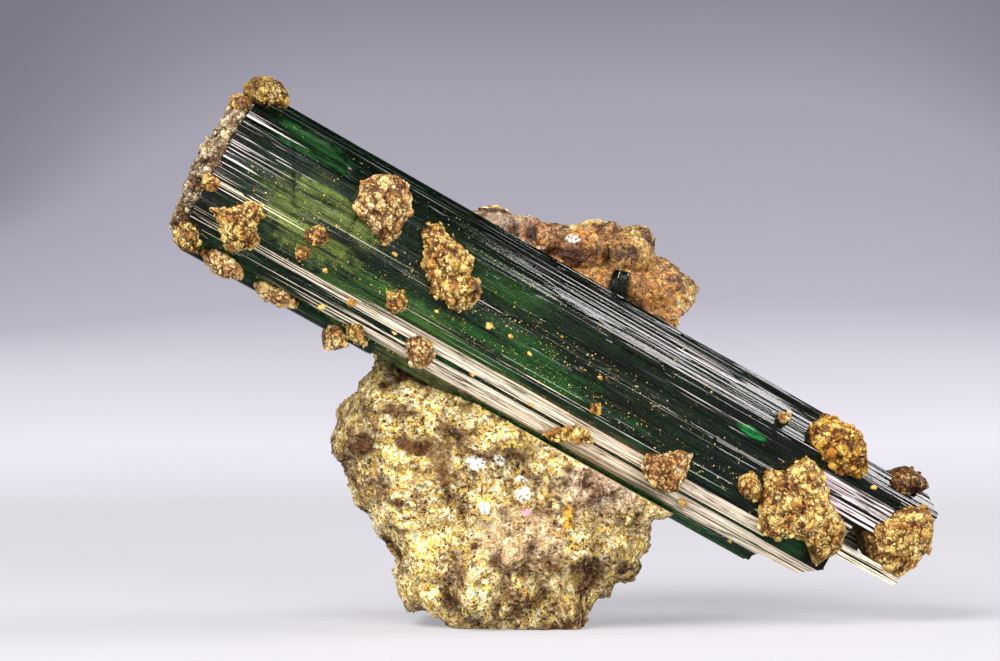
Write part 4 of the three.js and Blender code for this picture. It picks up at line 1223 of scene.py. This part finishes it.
class TOURMALINE_OT_matrix(bpy.types.Operator):
    """Add the lump of weathered matrix with its knob and its loose grains"""
    bl_idname = "tourmaline.matrix"
    bl_label = "Add matrix"

    def execute(self, context):
        settings = context.scene.tourmaline
        rng = np.random.default_rng(settings.seed + 1)
        outline = np.array(MATRIX_OUTLINE) - MATRIX_CENTRE[[0, 2]]
        corners, faces = pillow(outline, MATRIX_DEPTH, MATRIX_FULLNESS, settings.matrix_steps, rough_relief)
        corners = corners + MATRIX_CENTRE
        knob, knob_faces = pillow(
            np.array(KNOB_OUTLINE), KNOB_DEPTH, CLUSTER_FULLNESS, KNOB_STEPS, lump_relief(KNOB_SEED, 1.2))
        knob = knob + KNOB_CENTRE
        samples = [
            surface_samples(corners, faces[0], settings.flake_count * 2 // 3, rng),
            surface_samples(corners, faces[1], settings.flake_count // 6, rng),
            surface_samples(knob, knob_faces[0], settings.flake_count // 6, rng),
        ]
        places, normals = (np.concatenate(part) for part in zip(*samples))
        thing = shown("matrix_lump", filled_mesh("matrix_lump", corners, faces))
        ground = np.array([[-BEYOND, -BEYOND], [BEYOND, -BEYOND], [BEYOND, 0], [-BEYOND, 0]])
        carve(thing, [
            ("UNION", knob, knob_faces),
            *matrix_lobes(),
            ("DIFFERENCE", *slab(IN_FRONT_OUTLINE, -BEYOND, MATRIX_FRONT_BEHIND)),
            ("DIFFERENCE", *bar(grown_outline(SECTION, BED_GAP), *BED_SPAN)),
            ("DIFFERENCE", *prism(ground, -BEYOND, BEYOND, at_depth)),
        ])
        thing.data.shade_smooth()
        left = np.empty(len(thing.data.vertices) * 3, dtype=np.float32)
        thing.data.vertices.foreach_get("co", left)
        # Painted shade for the creases and hollows, stored for the material to darken them.
        tint(thing.data, "pit", painted_shade_share(left.reshape(-1, 3) / MM - MATRIX_CENTRE))
        stone = material_once("Matrix", stone_material)
        finished(thing, ["matrix_rock"], stone)

        keep = clear_of_crystal(places) & (places[:, 2] > LOWEST_FLAKE)
        places, normals = places[keep], normals[keep]
        sizes = FLAKE_SIZES[0] + FLAKE_SIZES[1] * rng.uniform(size=len(places)) ** 2.5
        leaning = tilted(normals, FLAKE_TILT, rng)
        flakes = plates(places, leaning, sizes, sizes * FLAKE_THICKNESS, rng, FLAKE_SIDES)
        grains = shown("matrix_grains", filled_mesh("matrix_grains", *flakes))
        per_flake = 2 * FLAKE_SIDES
        # Painted shade: the flakes darken with the creases and hollows they lie in.
        tint(grains.data, "pit", np.repeat(painted_shade_share(places - MATRIX_CENTRE) * 0.85, per_flake))
        tint(grains.data, "shade", np.repeat(rng.uniform(size=len(places)), per_flake))
        tint(grains.data, "flake", np.ones(per_flake * len(places)))
        finished(grains, [], stone)
        return {"FINISHED"}


def cluster_body(number, name, along, up, ahead, rise, sink, outline):
    """The lump of a cluster in the object's frame, its faces and how dark the painted shade in each corner's
    crease is.
    """
    reach = np.abs(outline).max()
    steps = int(np.clip(round(reach * 22), 24, 80))
    fullness = END_CRUST_FULLNESS if name == END_CRUST else CLUSTER_FULLNESS
    relief = lump_relief(CLUSTER_SEED + number, min(1, reach / 3))
    corners, faces = pillow(outline, {"front": rise, "back": sink}, fullness, steps, relief)
    crease_shade = grain_relief(corners, CLUSTER_GRAINS, CLUSTER_SEED + number)[1]
    turn = -math.radians(LEFT_SLANT_DEG if name == END_CRUST else 0)
    spin = np.array([[math.cos(turn), -math.sin(turn), 0], [math.sin(turn), math.cos(turn), 0], [0, 0, 1]])
    return on_row(corners @ spin.T + np.array([along, -ahead, up])), faces, crease_shade


class TOURMALINE_OT_clusters(bpy.types.Operator):
    """Add the mica clusters that sit on the crystal"""
    bl_idname = "tourmaline.clusters"
    bl_label = "Add mica clusters"

    def execute(self, context):
        settings = context.scene.tourmaline
        for i, (name, ((along, up), ahead, rise, sink, outline)) in enumerate(CLUSTERS.items()):
            rng = np.random.default_rng(settings.seed + 100 + i)
            outline = np.array(outline, dtype=float)
            corners, faces, crease_shade = cluster_body(i, name, along, up, ahead, rise, sink, outline)
            reach = np.abs(outline).max()
            area = math.pi * reach * reach
            scale = min(1, reach / 3)
            smaller = 0.4 + 0.6 * scale
            count = int(settings.plates_per_area * area) + 12
            places, normals = surface_samples(corners, faces[0], count, rng)
            sizes = (PLATE_SIZES[0] + PLATE_SIZES[1] * rng.uniform(size=count) ** 2) * smaller
            leaves = plates(places, tilted(normals, PLATE_TILT, rng), sizes, PLATE_THICKNESS, rng)
            stacks = int(BOOKS_PER_AREA * area * scale) + 2
            places, normals = surface_samples(corners, faces[0], stacks, rng)
            sizes = rng.uniform(*BOOK_SIZES, stacks) * smaller
            leaning = tilted(normals, BOOK_TILT, rng)
            pages = books(places - normals * BOOK_DEPTH, leaning, sizes, BOOK_LAYERS, BOOK_GAP, rng)
            mesh = filled_mesh(name, *joined([(corners, faces), leaves, pages]))
            plate_corners = len(leaves[0]) + len(pages[0])
            plate_shades = np.repeat(rng.uniform(0.1, 1, count + stacks * BOOK_LAYERS), 2 * PLATE_SIDES)
            tint(mesh, "shade", np.concatenate([grain_noise(corners, 0.9, 5)[2], plate_shades]))
            # Painted shade in the creases of the cluster's body, none on its plates.
            tint(mesh, "pit", np.concatenate([crease_shade, np.zeros(plate_corners)]))
            finished(shown(name + "_look", mesh), [name], mica_of(CLUSTER_LOOKS.get(name, "golden")))
        return {"FINISHED"}


class TOURMALINE_OT_crumbs(bpy.types.Operator):
    """Add the crumbs and the fine golden dust on the crystal's front"""
    bl_idname = "tourmaline.crumbs"
    bl_label = "Add crumbs and dust"

    def execute(self, context):
        settings = context.scene.tourmaline
        rng = np.random.default_rng(settings.seed + 300)
        parts = []
        turn = np.linspace(0, 2 * math.pi, CRUMB_CORNERS, endpoint=False)
        for i, (along, up, reach) in enumerate(CRUMBS):
            rim = np.column_stack([np.cos(turn), np.sin(turn)]) * rng.uniform(0.6, 1.15, (len(turn), 1))
            rim = rim * reach * [1.2, 1]
            depth = {"front": 0.8 * reach, "back": 0.5 * reach}
            relief = lump_relief(CRUMB_SEED + i, 0.3 * reach)
            corners, faces = pillow(rim, depth, CLUSTER_FULLNESS, CRUMB_STEPS, relief)
            parts.append((on_row(corners + [along, np.interp(up, FRONT_UPS, FRONT_DEPTHS), up]), faces))
        count = settings.dust_count
        crowded = rng.normal(*DUST_ALONG, count // 2)
        along = np.concatenate([crowded, rng.uniform(DUST_START, DUST_END, count - count // 2)])
        up = np.clip(rng.normal(*DUST_UP, count), -9, 8.5)
        keep = (along > DUST_START) & (along < np.interp(up, DUST_END_UPS, DUST_ENDS))
        along, up = along[keep], up[keep]
        places = on_row(np.column_stack([along, np.interp(up, FRONT_UPS, FRONT_DEPTHS), up]))
        facing = tilted(np.broadcast_to(-BACK, places.shape), 0.5, rng)
        sizes = DUST_SIZES[0] + DUST_SIZES[1] * rng.uniform(size=len(places)) ** 4
        specks = plates(places, facing, sizes, PLATE_THICKNESS, rng, FLAKE_SIDES)
        corners, faces = joined([*parts, specks])
        mesh = filled_mesh("crumbs", corners, faces)
        speck_shades = np.repeat(rng.uniform(0.3, 1, len(places)), 2 * FLAKE_SIDES)
        crumb_shades = rng.uniform(size=len(corners) - len(speck_shades))
        tint(mesh, "shade", np.concatenate([crumb_shades, speck_shades]))
        finished(shown("crumbs", mesh), [], mica_of("golden"))
        return {"FINISHED"}


class TOURMALINE_OT_small_crystal(bpy.types.Operator):
    """Add the stubby tourmaline behind the long one"""
    bl_idname = "tourmaline.small_crystal"
    bl_label = "Add small crystal"

    def execute(self, context):
        numbers = SMALL_CRYSTAL
        lean = math.radians(numbers["lean_deg"])
        turn = np.linspace(0, 2 * math.pi, SMALL_CRYSTAL_POINTS, endpoint=False)
        facing = (turn + math.pi / 6) % (math.pi / 3) - math.pi / 6
        radius = numbers["radius"] * math.cos(math.pi / 6) / np.cos(facing)
        rings = []
        for share, squeeze in SMALL_CRYSTAL_RINGS:
            height = np.full(len(turn), (share - 0.5) * numbers["length"])
            across = radius * squeeze
            rings.append(np.column_stack([across * np.sin(turn), across * np.cos(turn), height]))
        spin = np.array([[math.cos(lean), 0, math.sin(lean)], [0, 1, 0], [-math.sin(lean), 0, math.cos(lean)]])
        corners = on_row(np.concatenate(rings) @ spin.T + np.array(numbers["at"]))
        quads, index = tube_quads(len(rings), len(turn))
        faces = outward(corners, [quads, np.stack([index[0][::-1], index[-1]])])
        thing = shown("small_crystal", filled_mesh("small_crystal", corners, faces))
        finished(thing, ["small_tourmaline"], material_once("Tourmaline", tourmaline_material))
        return {"FINISHED"}


# The camera of the photograph, and the lights as (place, size, colour), aimed at AIM.
CAMERA_AT = (-2.4, -365.0, 35.7)
CAMERA_LENS = 108.0
CAMERA_SENSOR = 36.0
AIM = (5.0, 0.0, 35.0)
LIGHTS = {
    "key": ((-290, -330, 400), (340, 340), (1.0, 0.97, 0.93)),
    "right": ((480, 40, 330), (300, 300), (1.0, 0.97, 0.97)),
    "fill": ((220, -400, 110), (320, 200), (1.0, 1.0, 1.0)),
}
WORLD_COLOUR = (0.75, 0.75, 0.8, 1)
WORLD_STRENGTH = 0.26
BLACK = (0, 0, 0, 1)
# The share of the room's light that dark flags keep out of reflections.
MIRROR_SHADE = 0.85
# The backdrop: a dish that is flat in the middle and rises to its rim, whose colour goes through the
# stops as it gets further, sooner at its sides.
DISH_FLAT = 260.0
DISH_EDGE = 900.0
DISH_RISE = 400.0
DISH_POINTS = 96
BRIGHTEST_X = 15.0
DIM_HALF_WIDTH = 139.0
DIM_STEP = 243.0
BACKDROP_REACH = 1200.0
# How strongly the backdrop glows with its own colour: painted light that softens the shadows on it and lights
# the specimen from below.
BACKDROP_GLOW = 1.3
BACKDROP_SHADES = shades(
    (0.0, 141, 140, 145), (0.1, 148, 147, 152), (0.2, 155, 154, 161), (0.3, 141, 139, 147),
    (0.4, 120, 118, 128), (0.5, 115, 113, 122), (0.6, 111, 109, 119), (0.72, 107, 105, 115),
    (0.85, 92, 90, 101), (1.0, 80, 78, 88))


def less_mirrored(tree, colour):
    """A colour that is darker for rays that come from a reflection."""
    mirrored = add_node(tree, "LightPath").outputs["Is Glossy Ray"]
    return mixed_colour(tree, product(tree, mirrored, MIRROR_SHADE), colour, BLACK)


def backdrop_material():
    """Plain pale paper that also glows with its own colour, a painted light, and grows greyer towards its far
    side, up its rise and
    to its sides: the colour is that of y + 3 z + ((x - BRIGHTEST_X) / DIM_HALF_WIDTH) ^ 4 times the side's
    step."""
    material, tree, output = blank_material("Backdrop")
    x, y, z = add_node(tree, "SeparateXYZ", {"Vector": place_in_mm(tree)}).outputs
    far = counted(tree, "ADD", y, product(tree, z, 3.0))
    aside = counted(tree, "DIVIDE", counted(tree, "SUBTRACT", x, BRIGHTEST_X), DIM_HALF_WIDTH)
    aside = add_node(tree, "Math", {0: aside}, operation="ABSOLUTE").outputs[0]
    step = ranged(tree, far, 400, 650, 0.1 * DIM_STEP, DIM_STEP)
    aside = product(tree, counted(tree, "POWER", aside, 4.0), step)
    reach = ranged(tree, counted(tree, "ADD", far, aside), 0, BACKDROP_REACH)
    colour = less_mirrored(tree, ramp(tree, reach, BACKDROP_SHADES))
    shader = add_node(tree, "BsdfPrincipled", {
        "Base Color": colour, "Roughness": 0.9, "Emission Color": colour, "Emission Strength": BACKDROP_GLOW,
    })
    tree.links.new(shader.outputs[0], output["Surface"])
    material.cycles.emission_sampling = "NONE"
    return material


def dish_surface():
    """The backdrop's dish: rings at growing radii r, at a height of DISH_RISE times an S-shaped rise
    from DISH_FLAT to DISH_EDGE, about one corner in the middle."""
    radius = np.concatenate([np.linspace(0, DISH_FLAT, 8)[1:], np.linspace(DISH_FLAT, DISH_EDGE, 40)[1:]])
    height = DISH_RISE * smooth(radius, DISH_FLAT, DISH_EDGE)
    turn = np.linspace(0, 2 * math.pi, DISH_POINTS, endpoint=False)
    flat = radius[:, None, None] * np.stack([np.cos(turn), np.sin(turn)], axis=-1)
    rings = np.concatenate([flat, np.broadcast_to(height[:, None, None], flat.shape[:2] + (1,))], axis=-1)
    corners = np.concatenate([rings.reshape(-1, 3), [[0, 0, 0]]])
    quads, index = tube_quads(len(radius), DISH_POINTS)
    inner = np.stack([index[0], np.roll(index[0], -1), np.full(DISH_POINTS, len(corners) - 1)], axis=-1)
    return corners, [quads[:, ::-1], inner]


def placed(name, data, place):
    """A lamp or camera in the scene, at a place in millimetres."""
    thing = shown(name, data)
    thing.location = Vector(place) * MM
    return thing


class TOURMALINE_OT_stage(bpy.types.Operator):
    """Add the pale dish, the soft lights and the camera"""
    bl_idname = "tourmaline.stage"
    bl_label = "Add stage"

    def execute(self, context):
        settings = context.scene.tourmaline
        dish = shown("dish", filled_mesh("dish", *dish_surface()))
        dish.data.shade_smooth()
        dish.data.materials.append(backdrop_material())
        for name, (place, size, colour) in LIGHTS.items():
            lamp = bpy.data.lights.new(name, "AREA")
            lamp.shape = "RECTANGLE"
            lamp.size, lamp.size_y = (side * MM for side in size)
            lamp.energy = getattr(settings, name + "_power")
            lamp.color = colour
            thing = placed(name, lamp, place)
            aim = Vector(AIM) * MM - thing.location
            thing.rotation_euler = aim.to_track_quat("-Z", "Y").to_euler()
            thing.visible_glossy = name != "fill"
        world = bpy.data.worlds.new("Soft room")
        world.use_nodes = True
        background = world.node_tree.nodes["Background"].inputs
        world.node_tree.links.new(less_mirrored(world.node_tree, WORLD_COLOUR), background["Color"])
        background["Strength"].default_value = WORLD_STRENGTH
        context.scene.world = world
        camera = bpy.data.cameras.new("camera")
        camera.sensor_width = CAMERA_SENSOR
        camera.lens = CAMERA_LENS
        camera.clip_start = 10 * MM
        holder = placed("camera", camera, CAMERA_AT)
        holder.rotation_euler = (math.radians(90), 0, 0)
        context.scene.camera = holder
        context.scene.view_settings.view_transform = "Standard"
        return {"FINISHED"}


class TOURMALINE_PT_panel(bpy.types.Panel):
    """The specimen's settings and its operators in the 3D view's sidebar."""
    bl_label = "Tourmaline"
    bl_idname = "TOURMALINE_PT_panel"
    bl_space_type = "VIEW_3D"
    bl_region_type = "UI"
    bl_category = "Tourmaline"

    def draw(self, context):
        settings = context.scene.tourmaline
        for name in TourmalineSettings.__annotations__:
            self.layout.prop(settings, name)
        for operator in OPERATORS:
            self.layout.operator(operator.bl_idname)


OPERATORS = [
    TOURMALINE_OT_crystal, TOURMALINE_OT_matrix, TOURMALINE_OT_clusters, TOURMALINE_OT_crumbs,
    TOURMALINE_OT_small_crystal, TOURMALINE_OT_stage,
]
CLASSES = [TourmalineSettings, *OPERATORS, TOURMALINE_PT_panel]


def register():
    for item in CLASSES:
        bpy.utils.register_class(item)
    bpy.types.Scene.tourmaline = bpy.props.PointerProperty(type=TourmalineSettings)


def unregister():
    del bpy.types.Scene.tourmaline
    for item in reversed(CLASSES):
        bpy.utils.unregister_class(item)


def main():
    """Builds every piece in order."""
    register()
    bpy.ops.tourmaline.crystal()
    bpy.ops.tourmaline.matrix()
    bpy.ops.tourmaline.clusters()
    bpy.ops.tourmaline.crumbs()
    bpy.ops.tourmaline.small_crystal()
    bpy.ops.tourmaline.stage()


if __name__ == "__main__":
    main()
